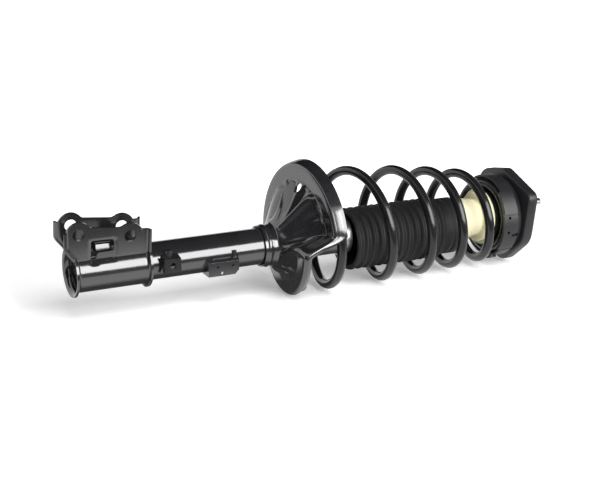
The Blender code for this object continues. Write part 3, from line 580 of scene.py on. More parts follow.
def arc(centre, radius, start, end, steps):
    """Points on an arc between two angles in degrees."""
    angles = [math.radians(mix(start, end, i / steps)) for i in range(steps + 1)]
    return [(centre[0] + radius * math.cos(a), centre[1] + radius * math.sin(a)) for a in angles]


print("round pieces have", FINE, "sides")

# %% [markdown]
# ## Cutting and softening
# A press tool or a drill cuts a finished piece, and so does a Boolean modifier with a helper
# solid. It is applied at once, because the next cut needs its result. Edges are softened last.


# %% Cutting and softening
def soften_edges(thing, width, angle):
    """Round every edge that turns by more than `angle` degrees."""
    soften = thing.modifiers.new("edges", "BEVEL")
    soften.width = width * MM
    soften.segments = 2
    soften.limit_method = "ANGLE"
    soften.angle_limit = math.radians(angle)
    return soften


def softened(node, name, width, slot_name, body):
    """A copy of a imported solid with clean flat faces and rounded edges."""
    bm = bmesh.new()
    bm.from_mesh(frame["nodes"][node].data)
    bmesh.ops.remove_doubles(bm, verts=bm.verts, dist=2e-6)
    bmesh.ops.dissolve_limit(bm, angle_limit=math.radians(1.0), verts=bm.verts, edges=bm.edges)
    thing = mesh_object(name, bm, 30.0)
    soften = soften_edges(thing, width, 38.0)
    soften.use_clamp_overlap = True
    soften.harden_normals = True
    dress(thing, slot_name, body, node)


def evaluated_mesh(thing):
    """The mesh that an object shows, with its modifiers or a curve's bevel."""
    return bpy.data.meshes.new_from_object(thing.evaluated_get(bpy.context.evaluated_depsgraph_get()))


def settle(thing):
    """Apply a piece's modifiers, so that its mesh is what is seen."""
    mesh = evaluated_mesh(thing)
    thing.modifiers.clear()
    thing.data = mesh


def prism(outline, push):
    """A solid made by pushing a flat outline along a vector, all in millimetres."""
    bm = bmesh.new()
    face = bm.faces.new([bm.verts.new(metres(point)) for point in outline])
    made = bmesh.ops.extrude_face_region(bm, geom=[face])
    moved = [v for v in made["geom"] if isinstance(v, bmesh.types.BMVert)]
    bmesh.ops.translate(bm, vec=metres(push), verts=moved)
    return bm


def axial_rod(name, place, radius, length, sides):
    """A drill along X at a place in metres, with its radius and length in millimetres."""
    bm = bmesh.new()
    bmesh.ops.create_cone(bm, cap_ends=True, segments=sides, radius1=radius * MM, radius2=radius * MM,
                          depth=length * MM, matrix=Matrix.Rotation(math.pi / 2, 4, "Y"))
    bmesh.ops.translate(bm, vec=place, verts=bm.verts)
    return mesh_object(name, bm)


def cut(thing, cutter, operation="DIFFERENCE"):
    """Cut with a helper solid, then remove the helper."""
    step = thing.modifiers.new("cut", "BOOLEAN")
    step.operation, step.object, step.solver = operation, cutter, "EXACT"
    settle(thing)
    bpy.data.objects.remove(cutter)


print("pieces that touch are", FIT, "mm apart")

# %% [markdown]
# ## Damper tube
# The outer tube is welded steel tube with a closed foot. On the outside only its long cylinder
# shows, so a fine cylinder with rounded ends stands for it, and the foot cap behind it keeps a
# rounded corner where it was pressed.

# %% Damper tube
TUBE_R, TUBE_BORE_R, TUBE_END = 21.0, 19.2, 322.0
CAP_THICK = 4.0
TUBE_START, CAP_R = CAP_THICK + FIT, TUBE_BORE_R - FIT

tube = turned(
    "reservoir_tube_shell",
    rounded([(TUBE_START, TUBE_BORE_R), (TUBE_START, TUBE_R), (TUBE_END, TUBE_R),
             (TUBE_END, TUBE_BORE_R)], 0.6),
)
dress(tube, "black_paint", "tube", "reservoir_tube")

foot = turned(
    "foot_cap",
    rounded([(0, 0), (0, TUBE_R), (CAP_THICK, TUBE_R), (CAP_THICK, CAP_R), (10, CAP_R),
             (10, CAP_R - 4.0), (CAP_THICK, 11.0), (CAP_THICK, 0)], 1.6),
)
dress(foot, "black_paint", "tube", "base_cap")

STRIKER_END = 325.9
striker = turned(
    "striker_cap_pressing",
    rounded([(313.0, 21.3), (313.0, 22.9), (STRIKER_END, 22.9), (STRIKER_END, 12.0), (322.3, 12.0),
             (322.3, 21.3)], 1.3),
)
dress(striker, "zinc_steel", "tube", "striker_cap")
print("tube", TUBE_END, "mm long,", 2 * TUBE_R, "mm across")

# %% [markdown]
# ## Knuckle bracket
# One sheet is wrapped round the tube and its two edges stand up as bolt ears; both ends of the
# sheet are flared outwards, and a pocket is pressed into the front ear. A grid of points follows
# the sheet's path round the tube, so that the flare and the pocket are only offsets along each
# point's normal. Then the sheet gets its thickness, and the press tool's outline and the holes
# are cut, as in the real press shop.

# %% Knuckle bracket
SHEET, EAR_GAP, EAR_LEAN = 2.6, 26.0, 8.0
WRAP_R = TUBE_R + FIT
WRAP_FOOT, EAR_FOOT, BRACKET_TOP = -9.0, -21.0, 77.0
WRAP_TOP, EAR_RISE = 14.0, 22.0  # heights between which the foot edge runs from wrap to ear
FOOT_FLARE, TOP_FLARE, FLARE_LENGTH = 7.0, 6.5, 6.5
LOW_HOLE, HIGH_HOLE, BOLT_R, BOLT_SIDES = (-3.7, 48.5), (53.9, 40.5), 6.65, 48
LOW_LOBE, HIGH_LOBE = 14.3, 14.8
LOW_SADDLE, HIGH_SADDLE, FOOT_FLANGE, TOP_FLANGE = 54.8, 51.6, 53.0, 46.5
SADDLE_FILLET = 8.0
POCKET_LEFT, POCKET_RIGHT, POCKET_FOOT, POCKET_TOP = 9.0, 37.0, 14.5, 39.5
CHANNEL_RIGHT, CHANNEL_FOOT = 17.5, 12.5
POCKET_DEPTH, POCKET_EDGE = 1.8, 3.4

LEAN = Matrix.Rotation(math.radians(EAR_LEAN), 4, "X")


def wrap_path():
    """Inner face of the sheet seen along X, from the front ear's top round to the back ear's."""
    half = EAR_GAP / 2
    turn = math.atan2(math.sqrt(WRAP_R**2 - half**2), half)
    top, low, steps = 69.0, 19.0, 40
    heights = [mix(top, low, i / steps) for i in range(steps + 1)]
    points = [(-half, h) for h in heights]
    for i in range(73):
        a = mix(math.pi - turn, 2 * math.pi + turn, i / 72)
        points.append((WRAP_R * math.cos(a), WRAP_R * math.sin(a)))
    return points + [(half, h) for h in reversed(heights)]


def flare(x, foot_x):
    """Outward offset of the sheet near its two ends."""
    for past_end, height in ((x - foot_x, FOOT_FLARE), (BRACKET_TOP - x, TOP_FLARE)):
        if past_end < FLARE_LENGTH:
            return height * (1 - math.sqrt(max(1 - (1 - past_end / FLARE_LENGTH) ** 2, 0.0)))
    return 0.0


def inside(value, low, high):
    """1 between `low` and `high`, falling off smoothly across each of them."""
    return smooth((value - low) / POCKET_EDGE + 0.5) * smooth((high - value) / POCKET_EDGE + 0.5)


def pocket(x, height):
    """How deep the front ear is pressed in: a pocket with a channel down to the tube."""
    box = inside(x, POCKET_LEFT, POCKET_RIGHT) * inside(height, POCKET_FOOT, POCKET_TOP)
    channel = inside(x, POCKET_LEFT, CHANNEL_RIGHT) * inside(height, CHANNEL_FOOT, POCKET_TOP)
    return -POCKET_DEPTH * max(box, channel)


def bracket_columns():
    """X shares of the grid, closer together in the two flares."""
    edge = FLARE_LENGTH / (BRACKET_TOP - WRAP_FOOT)
    shares = [edge * (1 - math.cos(math.pi / 2 * i / 8)) for i in range(8)]
    shares += [mix(edge, 1 - edge, i / 52) for i in range(53)]
    return shares + [1 - edge + edge * math.sin(math.pi / 2 * i / 8) for i in range(1, 9)]


def bracket_grid():
    """The sheet's inner face as rows of points round the tube, with upright ears."""
    path = wrap_path()
    bm = bmesh.new()
    rows = []
    for i, (y, z) in enumerate(path):
        a, b = Vector(path[max(i - 1, 0)]), Vector(path[min(i + 1, len(path) - 1)])
        along = (b - a).normalized()
        normal = Vector((along.y, -along.x))
        foot_x = mix(WRAP_FOOT, EAR_FOOT, smooth((z - WRAP_TOP) / EAR_RISE))
        row = []
        for share in bracket_columns():
            x = mix(foot_x, BRACKET_TOP, share)
            offset = flare(x, foot_x) + (pocket(x, z) if y < 0 else 0.0)
            place = (x, y + normal.x * offset, z + normal.y * offset)
            row.append(bm.verts.new(metres(place)))
        rows.append(row)
    skin(bm, rows)
    return bm


def leaning(name, bm, sharp=SHARP):
    """An object from an upright bmesh, turned about the tube by the ears' lean."""
    bmesh.ops.transform(bm, matrix=LEAN, verts=bm.verts)
    return mesh_object(name, bm, sharp)


def ear_cutter(name, outline, depth=140.0, centre_y=0.0):
    """A prism through the ears from an outline of (x, height) points in the leaning frame."""
    return leaning(name, prism([(x, centre_y - depth / 2, h) for x, h in outline], (0, depth, 0)))


def lobe_fillet(hole, lobe, saddle, side):
    """Where a lobe runs into the saddle: the turn on the lobe and the small arc's centre."""
    rise = saddle + SADDLE_FILLET - hole[1]
    across = math.sqrt((lobe + SADDLE_FILLET) ** 2 - rise**2)
    turn = math.degrees(math.atan2(rise, across))
    return (turn if side > 0 else 180 - turn), (hole[0] + side * across, saddle + SADDLE_FILLET)


def ear_outline():
    """What the press tool leaves of the ears: two lobes with a saddle between them."""
    low_turn, low_centre = lobe_fillet(LOW_HOLE, LOW_LOBE, LOW_SADDLE, 1)
    high_turn, high_centre = lobe_fillet(HIGH_HOLE, HIGH_LOBE, HIGH_SADDLE, -1)
    foot_turn = 180 - math.degrees(math.asin((FOOT_FLANGE - LOW_HOLE[1]) / LOW_LOBE))
    flange_turn = math.degrees(math.asin((TOP_FLANGE - HIGH_HOLE[1]) / HIGH_LOBE))
    left, right, foot = -70.0, 130.0, -70.0  # well outside the sheet
    outline = [(left, foot), (left, FOOT_FLANGE)]
    outline += arc(LOW_HOLE, LOW_LOBE, foot_turn, low_turn, 28)
    outline += arc(low_centre, SADDLE_FILLET, 180 + low_turn, 270, 8)[1:]
    outline += arc(high_centre, SADDLE_FILLET, 270, 180 + high_turn, 8)[:-1]
    outline += arc(HIGH_HOLE, HIGH_LOBE, high_turn, flange_turn, 24)
    return outline + [(right, TOP_FLANGE), (right, foot)]


bracket = leaning("knuckle_bracket_pressing", bracket_grid(), 60.0)
thick = bracket.modifiers.new("sheet", "SOLIDIFY")
thick.thickness = SHEET * MM
thick.offset = -1.0
settle(bracket)
cut(bracket, ear_cutter("outline", ear_outline()), "INTERSECT")
for hole in (LOW_HOLE, HIGH_HOLE):
    circle = arc(hole, BOLT_R, 0, 360 - 360 / BOLT_SIDES, BOLT_SIDES - 1)
    cut(bracket, ear_cutter("hole", circle))
# The window's corners: X and height
WINDOW = ((10.0, 17.5), (16.5, 17.5), (17.5, 24.6), (36.0, 25.0), (36.5, 36.0), (33.0, 39.5),
          (10.5, 40.0))
cut(bracket, ear_cutter("window", rounded(WINDOW, 2.5), 14.0, -(EAR_GAP + SHEET) / 2))
soften_edges(bracket, 0.55, 55.0)
bracket.data.shade_smooth()
bracket.data.set_sharp_from_angle(angle=math.radians(50))
dress(bracket, "black_paint", "tube", "knuckle_bracket")
print("bracket faces:", len(bracket.data.polygons))

# %% [markdown]
# ## Strap and small brackets
# A strap with a raised hump ties the two ears; the hump is what shines in the window. The hose
# and sensor wire brackets are folded sheet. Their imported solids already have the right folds.

# %% Strap and small brackets
# The hump's section: Y and height
HUMP = ((-7.0, 22.6), (-4.4, 30.2), (-3.0, 31.0), (2.0, 31.0), (3.6, 30.2), (7.0, 22.6))
HUMP_START, HUMP_LENGTH = 18.5, 17.5

softened("bracket_strap", "bracket_strap_pressing", 0.5, "black_paint", "tube")
hump_end = [(HUMP_START, y, z) for y, z in rounded(HUMP, 1.2)]
dress(leaning("bracket_strap_hump", prism(hump_end, (HUMP_LENGTH, 0, 0))), "black_paint", "tube")
softened("hose_bracket", "hose_bracket_folding", 0.5, "black_paint", "tube")
softened("sensor_wire_bracket", "sensor_bracket_folding", 0.5, "black_paint", "tube")
print("hump from", HUMP_START, "to", HUMP_START + HUMP_LENGTH, "mm")

# %% [markdown]
# ## Coil spring
# The wire is wound on a cone and its turns stand further apart in the middle than at the seats. A
# Screw modifier winds only with an even pitch, so the wire's centre line is a formula instead: the
# pitch is added up turn by turn, and radius and height above the axis follow the turn too. One end
# stands on the tube and the other on the rod's mount, but the wire rides on neither body.

# %% Coil spring
WIRE, COIL_REST = 11.5, 0.9  # the wire, and its gap to the rubber
START_TURN, END_TURN, POINTS_PER_TURN = -1.57, 4.70, 72
LOW_COIL_X, LOW_COIL_R, LOW_COIL_LIFT = 256.8, 67.0, 14.6
TOP_COIL_X, TOP_COIL_R = 527.0, 41.0
SEAT_PITCH, FREE_PITCH, WIDE_PITCH, PITCH_FADE = 37.5, 38.0, 33.9, 0.924
# Each pair: the turn where a change begins, and how many turns it takes
LEAVE_SEAT, NARROW, FLATTEN = (-0.59, 0.17), (3.40, 0.36), (3.70, 0.67)
OFF_SEAT = (START_TURN, -0.42 - START_TURN)


def changed(turn, change):
    """0 before a change along the wire and 1 after it."""
    start, length = change
    return smooth((turn - start) / length)


def coil_pitch(turn):
    """Rise in millimetres per turn before the wire is fitted between its seats."""
    free = FREE_PITCH + WIDE_PITCH * math.exp(-PITCH_FADE * turn)
    lifted = mix(SEAT_PITCH, free, changed(turn, LEAVE_SEAT))
    return mix(lifted, 0.0, changed(turn, FLATTEN))


def coil_rise(steps=1200):
    """Share of the coil's whole rise that is reached at even steps of its turns."""
    turns = [mix(START_TURN, END_TURN, i / steps) for i in range(steps + 1)]
    rise = [0.0]
    for a, b in zip(turns, turns[1:]):
        rise.append(rise[-1] + coil_pitch((a + b) / 2) * (b - a))
    return [r / rise[-1] for r in rise]


COIL_RISE = coil_rise()


def coil_x(turn):
    place = (turn - START_TURN) / (END_TURN - START_TURN) * (len(COIL_RISE) - 1)
    i = min(max(int(place), 0), len(COIL_RISE) - 2)
    return mix(LOW_COIL_X, TOP_COIL_X, mix(COIL_RISE[i], COIL_RISE[i + 1], place - i))


def coil_point(turn):
    """The wire's centre in metres. The free turns' cone and slant are fitted to the photo."""
    lifted, pigtail = changed(turn, OFF_SEAT), changed(turn, NARROW)
    free_r = 65.0 - 2.27 * turn - 0.433 * turn * turn
    r = mix(mix(LOW_COIL_R, free_r, lifted), TOP_COIL_R, pigtail)
    lift = mix(mix(LOW_COIL_LIFT, 10.1 - 2.51 * turn, lifted), 0.0, pigtail)
    angle = 2 * math.pi * turn
    return Vector((coil_x(turn), -r * math.sin(angle), lift + r * math.cos(angle))) * MM


def wire_curve(name, points, radius, sides_each_quarter):
    curve = bpy.data.curves.new(name, "CURVE")
    curve.dimensions = "3D"
    curve.bevel_depth = radius * MM
    curve.bevel_resolution = sides_each_quarter
    curve.use_fill_caps = True
    spline = curve.splines.new("POLY")
    spline.points.add(len(points) - 1)
    for spot, point in zip(spline.points, points):
        spot.co = (*point, 1.0)
    thing = bpy.data.objects.new(name, curve)
    scene.collection.objects.link(thing)
    return thing


count = round((END_TURN - START_TURN) * POINTS_PER_TURN)
coil_points = [coil_point(mix(START_TURN, END_TURN, i / count)) for i in range(count + 1)]
drawn = wire_curve("coil_wire", coil_points, WIRE / 2, 5)
coil_mesh = evaluated_mesh(drawn)
bpy.data.objects.remove(drawn)
coil = bpy.data.objects.new("coil_spring_wire", coil_mesh)
scene.collection.objects.link(coil)
coil_mesh.shade_smooth()
coil_mesh.set_sharp_from_angle(angle=math.radians(50))
dress(coil, "spring_coat", None, "coil_spring")
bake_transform(coil)
print("coil:", round(END_TURN - START_TURN, 2), "turns,", len(coil_mesh.polygons), "faces")

# %% [markdown]
# ## Lower spring seat
# The dish is pressed from one sheet: a collar, a cone with ribs and hollows, a helical floor for
# the first coil, and a rim. Its floor climbs with the wire and steps back down after one turn. It
# is made as rows of stations round the axis, and every rib or hollow is a bell-shaped offset at
# its own turn, which is how a press tool's relief is drawn.

# %% Lower spring seat
SEAT_SHEET = 2.5
COLLAR_FOOT, COLLAR_LENGTH, COLLAR_LIP = 214.0, 15.0, 2.4
FLOOR_IN, FLOOR_OUT, SEAT_CORNER = 57.0, 71.8, 2.2
RIM_PAST, RIM_SHORT, RIM_FLARE, LOW_FLARE, RIM_ROUND = 1.8, 7.4, 2.7, -1.5, 1.7
SEAT_LIFT, SEAT_PAD = 15.7, 4.6
STEP_START, STEP_END = -0.765, -0.715
CONE_START, CONE_FILLET, CONE_RISE = COLLAR_FOOT + COLLAR_LENGTH + 3.0, 1.7, 2.6
RELIEF_FADE_IN, RELIEF_FADE_OUT = 0.12, 0.11  # shares of the cone
RIM_FULL, RIM_GROWTH = -1.45, 0.25  # turn where the rim starts to grow, and for how long
SEAT_SIDES = 300

# Each row: distance past the collar's foot, and height above the neck
COLLAR_BEADS = ((4.6, 0.0), (5.2, 0.7), (6.2, 1.0), (7.2, 0.4), (8.4, 0.2), (11.0, 0.3),
                (13.5, 0.6), (15.6, 1.1))

# Each row: turn at the inner end, turn at the outer end, share of the cone, length, width, height
RELIEF = (
    (-0.905, -0.895, 0.55, 0.70, 0.010, 4.6),
    (-0.840, -0.830, 0.58, 0.44, 0.036, -6.5),
    (-0.790, -0.740, 0.62, 0.50, 0.014, 3.0),
    (-0.745, -0.745, 0.76, 0.16, 0.010, -2.5),
    (-1.045, -1.105, 0.62, 0.42, 0.028, -8.5),
    (-0.935, -1.030, 0.68, 0.34, 0.020, -7.5),
    (-0.990, -1.063, 0.70, 0.34, 0.009, 2.5),
    (-0.905, -0.935, 0.72, 0.24, 0.018, -3.0),
    (-1.380, -1.190, 0.80, 0.50, 0.018, 3.2),
    (-1.630, -1.630, 0.62, 0.30, 0.009, 2.6),
    (-1.585, -1.585, 0.64, 0.30, 0.009, 2.6),
    (-1.430, -1.430, 0.60, 0.40, 0.030, -3.0),
)


def relief(turn, share):
    """How far the cone is pressed towards the tube's foot, in millimetres."""
    total = 0.0
    for inner, outer, middle, length, width, height in RELIEF:
        line = mix(inner, outer, share)
        total += height * bell(share, middle, length) * bell(turn, line, width)
    return total


def seat_helix(turn):
    """X of the wire's centre, carried on below the wire's own end."""
    return coil_x(max(turn, START_TURN)) + SEAT_PITCH * min(turn - START_TURN, 0.0)


def step_share(turn):
    return smooth((turn - STEP_START) / (STEP_END - STEP_START))


def seat_stations(turn):
    """(x, radius, share of the lift) from the collar's foot to the rim's edge."""
    stepped = step_share(turn)
    x = mix(seat_helix(min(turn, STEP_START)), seat_helix(STEP_END - 1.0), stepped)
    full = smooth((turn - RIM_FULL) / RIM_GROWTH) - stepped
    base = x - WIRE / 2 - COIL_REST - SEAT_PAD - FIT
    neck = TUBE_R + FIT
    rows = []
    for i in range(7):
        a = math.pi / 2 * i / 6
        past, rise = COLLAR_LIP * (1 - math.cos(a)), COLLAR_LIP * (1 - math.sin(a))
        rows.append((COLLAR_FOOT + past, neck + rise, 0.0))
    rows += [(COLLAR_FOOT + past, neck + rise, 0.0) for past, rise in COLLAR_BEADS]
    rows.append((CONE_START - 1.0, neck + CONE_FILLET, 0.0))
    for i in range(31):
        share = i / 30
        fade = smooth(share / RELIEF_FADE_IN) * smooth((1.0 - share) / RELIEF_FADE_OUT)
        x_here = mix(CONE_START, base, share) - relief(turn, share) * fade
        rows.append((x_here, mix(neck + CONE_RISE, FLOOR_IN, share), smooth(share)))
    rows += [(base, mix(FLOOR_IN, FLOOR_OUT, i / 5), 1.0) for i in range(1, 6)]
    for i in range(1, 5):
        a = math.pi / 2 * i / 4
        rows.append((base + SEAT_CORNER * (1 - math.cos(a)), FLOOR_OUT + SEAT_CORNER * math.sin(a), 1.0))
    edge_x = x + RIM_PAST - RIM_SHORT * (1 - full)
    edge_r = FLOOR_OUT + SEAT_CORNER + mix(LOW_FLARE, RIM_FLARE, full)
    last_x, last_r = rows[-1][0], rows[-1][1]
    for i in range(1, 13):
        share = i / 12
        bulge = 1 - (1 - share) ** RIM_ROUND if full > 0.5 else share
        rows.append((mix(last_x, edge_x, share), mix(last_r, edge_r, bulge), 1.0))
    return rows


def seat_spot(turn, x, r, lift_share):
    """A place in metres; the dish's floor is lifted off the damper's axis, its collar isn't."""
    a = 2 * math.pi * turn
    return Vector((x, -r * math.sin(a), SEAT_LIFT * lift_share + r * math.cos(a))) * MM


bm = bmesh.new()
seat_rows = []
for i in range(SEAT_SIDES):
    turn = STEP_END - 1.0 + i / SEAT_SIDES
    seat_rows.append([bm.verts.new(seat_spot(turn, *s)) for s in seat_stations(turn)])
skin(bm, seat_rows, closed=True)
seat = mesh_object("spring_seat_pressing", bm, 60.0)
probe = seat.data.polygons[0]
thick = seat.modifiers.new("sheet", "SOLIDIFY")
thick.thickness = SEAT_SHEET * MM
# The sheet grows away from the tube, whichever way its faces were turned
radial = Vector((0, probe.center.y, probe.center.z)).normalized()
thick.offset = 1.0 if probe.normal.dot(radial) > 0 or probe.normal.x < -0.5 else -1.0
thick.use_even_offset = True
settle(seat)

# The drain hole: turn, share of the cone, and radius
DRAIN_TURN, DRAIN_SHARE, DRAIN_R = -0.97, 0.86, 5.0
drain = seat_spot(DRAIN_TURN, 260.0, mix(TUBE_R, FLOOR_IN, DRAIN_SHARE), smooth(DRAIN_SHARE))
cut(seat, axial_rod("drain", drain, DRAIN_R, 200.0, 40))
soften_edges(seat, 0.5, 60.0)
seat.data.shade_smooth()
seat.data.set_sharp_from_angle(angle=math.radians(55))
dress(seat, "black_paint", "tube", "spring_seat")
print("seat faces:", len(seat.data.polygons))

# %% [markdown]
# ## Rubber under the spring
# A strip of rubber lies between the dish and the first coil. It is soft, and it keeps a rounded
# section along the helix.

# %% Lower spring pad
PAD_END, PAD_STEPS = -0.80, 139
PAD_OUT = FLOOR_OUT - FIT
PAD_IN = PAD_OUT - 10.0

bm = bmesh.new()
pad_rows = []
for i in range(PAD_STEPS + 1):
    turn = mix(START_TURN, PAD_END, i / PAD_STEPS)
    low = seat_helix(turn) - WIRE / 2 - COIL_REST - SEAT_PAD
    top = low + SEAT_PAD
    section = rounded([(low, PAD_IN), (top, PAD_IN), (top, PAD_OUT), (low, PAD_OUT)], 1.2)
    pad_rows.append([bm.verts.new(seat_spot(turn, x, r, 1.0)) for x, r in section])
skin(bm, pad_rows, ring=True)
bm.faces.new(pad_rows[0])
bm.faces.new(pad_rows[-1])
low_pad = mesh_object("lower_spring_pad_strip", bm, 40.0)
dress(low_pad, "boot_rubber", "tube", "lower_spring_pad")
print("pad:", len(pad_rows), "sections")

# %% [markdown]
# ## Dust boot
# The boot is a blow-moulded bellows that hangs loose on the bump stop's neck. Each rib is a
# narrow crest with a wide valley, so the profile is a repeated small curve rather than a sine,
# which would look too soft. Its ribs close up as the rod slides in.

# %% Dust boot
BOOT_FOOT, BOOT_RIBS, RIB_PITCH = 327.0, 13, 9.5
RIB_R, VALLEY_R, BOOT_DROOP, NECK_R, COLLAR_END = 37.0, 33.4, 6.0, 25.2, 476.0
BOOT_BORE = NECK_R + FIT + BOOT_DROOP
# Each pair: share of a rib's pitch, and height from valley to crest
RIB_SHAPE = ((0.0, 0.55), (0.08, 0.80), (0.18, 0.97), (0.24, 1.0), (0.30, 0.97), (0.40, 0.72),
             (0.52, 0.38), (0.66, 0.12), (0.80, 0.0), (0.90, 0.14))

profile = [(BOOT_FOOT, BOOT_BORE), (BOOT_FOOT, RIB_R - 1.6)]
for rib in range(BOOT_RIBS):
    for share, height in RIB_SHAPE:
        x = BOOT_FOOT + 0.4 + RIB_PITCH * (rib + share)
        profile.append((x, mix(VALLEY_R, RIB_R, height)))
boot_collar = BOOT_BORE + 2.6
collar_start = BOOT_FOOT + RIB_PITCH * BOOT_RIBS + 2.0
profile += [(collar_start, boot_collar - 0.4), (collar_start + 2, boot_collar),
            (collar_start + 6, boot_collar), (collar_start + 6.6, boot_collar - 0.6),
            (collar_start + 7.4, boot_collar - 0.6), (collar_start + 8, boot_collar),
            (COLLAR_END - 3.0, boot_collar), (COLLAR_END - 1.0, boot_collar - 0.8),
            (COLLAR_END, boot_collar - 2.2), (COLLAR_END, BOOT_BORE)]
boot = turned("dust_boot_bellows", profile, sharp=70.0)
for vert in boot.data.vertices:
    vert.co.z -= BOOT_DROOP * MM
dress(boot, "boot_rubber", "mount", "dust_boot")
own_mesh(boot)
print("boot:", BOOT_RIBS, "ribs")

# %% [markdown]
# ## Bump stop and its cup
# The bump stop is closed-cell foam that is cut to a barrel with a groove. It is a turned profile
# too; the cup that holds it is pressed steel with a rolled edge.

# %% Bump stop
PLATE_X = 549.0
ROD_CLEAR_R = 10.8
BUMP_FOOT, TAPER_X, TAPER_LENGTH = 444.0, 484.0, 22.0
GROOVE_R, HEAD_R = 22.5, 31.0
CUP_END, CUP_LENGTH, CUP_WALL, CUP_FLOOR = PLATE_X - FIT, 31.0, 2.0, 3.5
LIP_FOOT, LIP_END, LIP_R = 513.4, 517.4, 34.4

groove_x = TAPER_X + TAPER_LENGTH
floor_x, cup_foot = CUP_END - CUP_FLOOR, CUP_END - CUP_LENGTH
head_end = floor_x - FIT
profile = [(BUMP_FOOT, ROD_CLEAR_R), (BUMP_FOOT, 15.8), (448, 20.3), (456, NECK_R - 0.1),
           (478, NECK_R)]
for i in range(11):
    share = i / 10
    profile.append((mix(TAPER_X, groove_x, share), mix(NECK_R, GROOVE_R, share**1.5)))
profile += [(groove_x + 1.5, GROOVE_R), (groove_x + 1.5, HEAD_R - 2), (groove_x + 3.5, HEAD_R),
            (head_end, HEAD_R), (head_end, ROD_CLEAR_R)]
bump = turned("bump_stop_foam", rounded(profile, 1.2), sharp=50.0)
dress(bump, "bump_foam", "mount", "bump_stop")

cup_in = HEAD_R + FIT
cup_out = cup_in + CUP_WALL
lip = turned(
    "bump_stop_lip",
    rounded([(LIP_FOOT, cup_in), (LIP_FOOT, LIP_R), (LIP_END, LIP_R), (LIP_END, cup_in)], 1.6),
    sharp=60.0,
)
dress(lip, "bump_foam", "mount")

cup = turned(
    "bump_stop_cup_pressing",
    rounded([(cup_foot, cup_in), (cup_foot, cup_out), (CUP_END, cup_out), (CUP_END, ROD_CLEAR_R),
             (floor_x, ROD_CLEAR_R), (floor_x, cup_in)], 0.9),
)
dress(cup, "black_paint", "mount", "bump_stop_cup")
print("bump stop from", BUMP_FOOT, "to", round(head_end, 1), "mm")

# %% [markdown]
# ## Rubber ring
# The spring's last coil sits in a rubber ring. It is moulded in one piece, so its blocks are
# joined on with Boolean unions before the grooves between them are cut; a block that only
# touched the ring would show a seam.

# %% Rubber ring
RING_FRONT, RING_END, RING_R, RING_NECK = 523.7, 541.2, 51.0, 46.0
WALL_IN = TOP_COIL_R + WIRE / 2 + COIL_REST
RING_FLOOR, RING_INNER = TOP_COIL_X + WIRE / 2 + FIT, cup_out + FIT

# Each row: name, two angles seen along X, step out, step forward, and length
BLOCKS = (("block", 134.0, 166.0, 2.4, 4.5, 18.0), ("band", 166.0, 222.0, 0.7, 4.5, 18.0),
          ("lug", 246.0, 262.0, 2.6, 2.0, 8.0))
# Each row: angle seen along X, X, and the box's size
GROOVES = (
    (102.0, 530.0, (16.0, 6.0, 2.4)),
    (196.5, 536.0, (9.0, 8.0, 4.0)),
    (167.0, 530.0, (22.0, 6.0, 1.4)),
    (171.0, 527.0, (3.4, 8.0, 3.4)),
    (192.0, 526.5, (3.4, 8.0, 3.4)),
    (223.5, 530.0, (22.0, 7.0, 2.2)),
    (240.0, 529.0, (14.0, 6.0, 1.6)),
)

ring = turned(
    "upper_spring_pad_ring",
    rounded([(RING_FLOOR, RING_INNER), (RING_FLOOR, WALL_IN), (RING_FRONT, WALL_IN),
             (RING_FRONT, RING_R), (RING_END, RING_R), (RING_END, RING_NECK),
             (CUP_END, RING_NECK), (CUP_END, RING_INNER)], 1.8, 4),
    sharp=50.0,
)


def ring_block(name, start, end, out, front, length):
    """A raised sector on the ring, between two angles seen along X."""
    section = arc((0, 0), RING_R + out, start, end, 30) + arc((0, 0), WALL_IN, end, start, 30)
    return mesh_object(name, prism([(RING_FRONT - front, y, z) for y, z in section], (length, 0, 0)))


def radial_cut(angle, x, size, radius):
    """A box across the ring's outer wall at an angle seen along X."""
    bm = bmesh.new()
    bmesh.ops.create_cube(bm, size=1.0)
    bmesh.ops.scale(bm, vec=metres(size), verts=bm.verts)
    bmesh.ops.translate(bm, vec=metres((x, radius, 0)), verts=bm.verts)
    bmesh.ops.transform(bm, matrix=Matrix.Rotation(math.radians(angle), 4, "X"), verts=bm.verts)
    return mesh_object("groove", bm)


for row in BLOCKS:
    cut(ring, ring_block(*row), "UNION")
for row in GROOVES:
    cut(ring, radial_cut(*row, RING_R + 1.0))
soften_edges(ring, 1.0, 50.0)
ring.data.set_sharp_from_angle(angle=math.radians(50))
dress(ring, "mount_rubber", "mount", "upper_spring_pad")
print("ring:", len(BLOCKS), "blocks,", len(GROOVES), "grooves")

# %% [markdown]
# ## Mount plate
# The plate is steel in a rubber coat. Its outline has six corners with different roundings, so it
# is worked out corner by corner as an arc that touches both sides. The outline is then stacked
# along X and moved in near both faces, which gives the soft rim of a moulding. A bevel of one
# width could not follow a rim that is wider in front than behind.

# %% Mount plate
# Each row: corner's y and z, and its rounding
PLATE_CORNERS = ((-59.0, 35.0, 10.0), (-48.5, -27.0, 32.0), (0.0, -66.0, 24.0),
                 (48.5, -27.0, 14.0), (56.0, 46.5, 24.0), (0.0, 57.0, 13.0))
# Each pair: depth behind the plate's face, and how far the outline is moved in there
PLATE_RIM = ((0.0, 2.4), (0.4, 1.1), (1.1, 0.4), (2.2, 0.0), (11.0, 0.0), (12.6, 0.5), (13.5, 1.8))
PLATE_BORE = 24.3
STUD_CIRCLE, STUD_BORE, STUD_ANGLES = 38.5, 4.3, (150, 270, 30)
NUB_PLACE, NUB_R = (PLATE_X + 3.0, -2.0, 52.6), 2.6


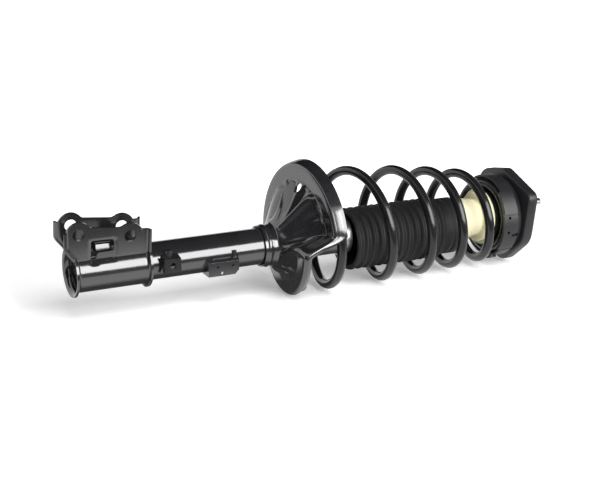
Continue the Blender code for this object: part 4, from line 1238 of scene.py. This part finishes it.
def plate_outline(inset, steps=10):
    """The plate's rounded outline, moved in by `inset`."""
    points = []
    count = len(PLATE_CORNERS)
    for i, (y, z, radius) in enumerate(PLATE_CORNERS):
        here = Vector((y, z))
        back = (Vector(PLATE_CORNERS[i - 1][:2]) - here).normalized()
        ahead = (Vector(PLATE_CORNERS[(i + 1) % count][:2]) - here).normalized()
        half = back.angle(ahead) / 2
        inward = (back + ahead).normalized()
        centre = here + inward * (radius / math.sin(half))
        facing = math.atan2(-inward.y, -inward.x)
        sweep = math.pi / 2 - half
        way = 1 if back.cross(ahead) < 0 else -1
        for k in range(steps + 1):
            a = facing + way * mix(-sweep, sweep, k / steps)
            points.append(centre + Vector((math.cos(a), math.sin(a))) * (radius - inset))
    return points


bm = bmesh.new()
loops = []
for behind, inset in PLATE_RIM:
    x = PLATE_X + behind
    loops.append([bm.verts.new(metres((x, y, z))) for y, z in plate_outline(inset)])
skin(bm, loops, ring=True)
bm.faces.new(loops[0])
bm.faces.new(list(reversed(loops[-1])))
plate = mesh_object("mount_plate_moulding", bm, 40.0)
before, past = PLATE_X - 5, PLATE_X + 20
cut(plate, turned("bore", [(before, 0), (before, PLATE_BORE), (past, PLATE_BORE), (past, 0)], 72))
for angle in STUD_ANGLES:
    a = math.radians(angle)
    place = metres((PLATE_X, STUD_CIRCLE * math.cos(a), STUD_CIRCLE * math.sin(a)))
    cut(plate, axial_rod("stud_bore", place, STUD_BORE, 40.0, 32))
plate.data.set_sharp_from_angle(angle=math.radians(40))
dress(plate, "mount_rubber", "mount", "mount_plate")

bm = bmesh.new()
bmesh.ops.create_uvsphere(bm, u_segments=20, v_segments=12, radius=NUB_R * MM)
bmesh.ops.translate(bm, vec=metres(NUB_PLACE), verts=bm.verts)
dress(mesh_object("plate_mould_nub", bm), "mount_rubber", "mount")
print("plate faces:", len(plate.data.polygons))

# %% [markdown]
# ## Bush, studs and top nut
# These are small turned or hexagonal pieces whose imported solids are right. Only their knife edges
# are taken off, since that is where a plated piece shows its thin bright line.

# %% Bush, studs and top nut
softened("mount_bush", "mount_bush_moulding", 0.5, "seal_rubber", "mount")
for number in (1, 2, 3):
    softened(f"body_stud_{number}", f"body_stud_{number}_bolt", 0.3, "zinc_steel", "mount")
for node in ("top_washer", "top_nut", "bush_sleeve"):
    softened(node, node + "_plated", 0.4, "zinc_steel", frame["nodes"][node]["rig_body"])

# %% [markdown]
# ## Inner pieces
# The rod, guide, seal, piston and valves are inside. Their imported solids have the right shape, so
# they stay and only get their finish.

# %% Inner pieces
slots = {"chrome_rod": ("piston_rod",),
         "bare_steel": ("base_valve", "pressure_tube", "rod_guide", "damper_piston", "piston_nut"),
         "seal_rubber": ("oil_seal", "piston_band", "rebound_stop")}
for slot_name, nodes in slots.items():
    for node in nodes:
        thing = frame["nodes"][node]
        thing.data.materials.clear()
        thing.data.materials.append(finishes[slot_name])
print("packed nodes kept:", sum(len(n) for n in slots.values()))

# %% Sizes and finish
print("visual box:", corners())
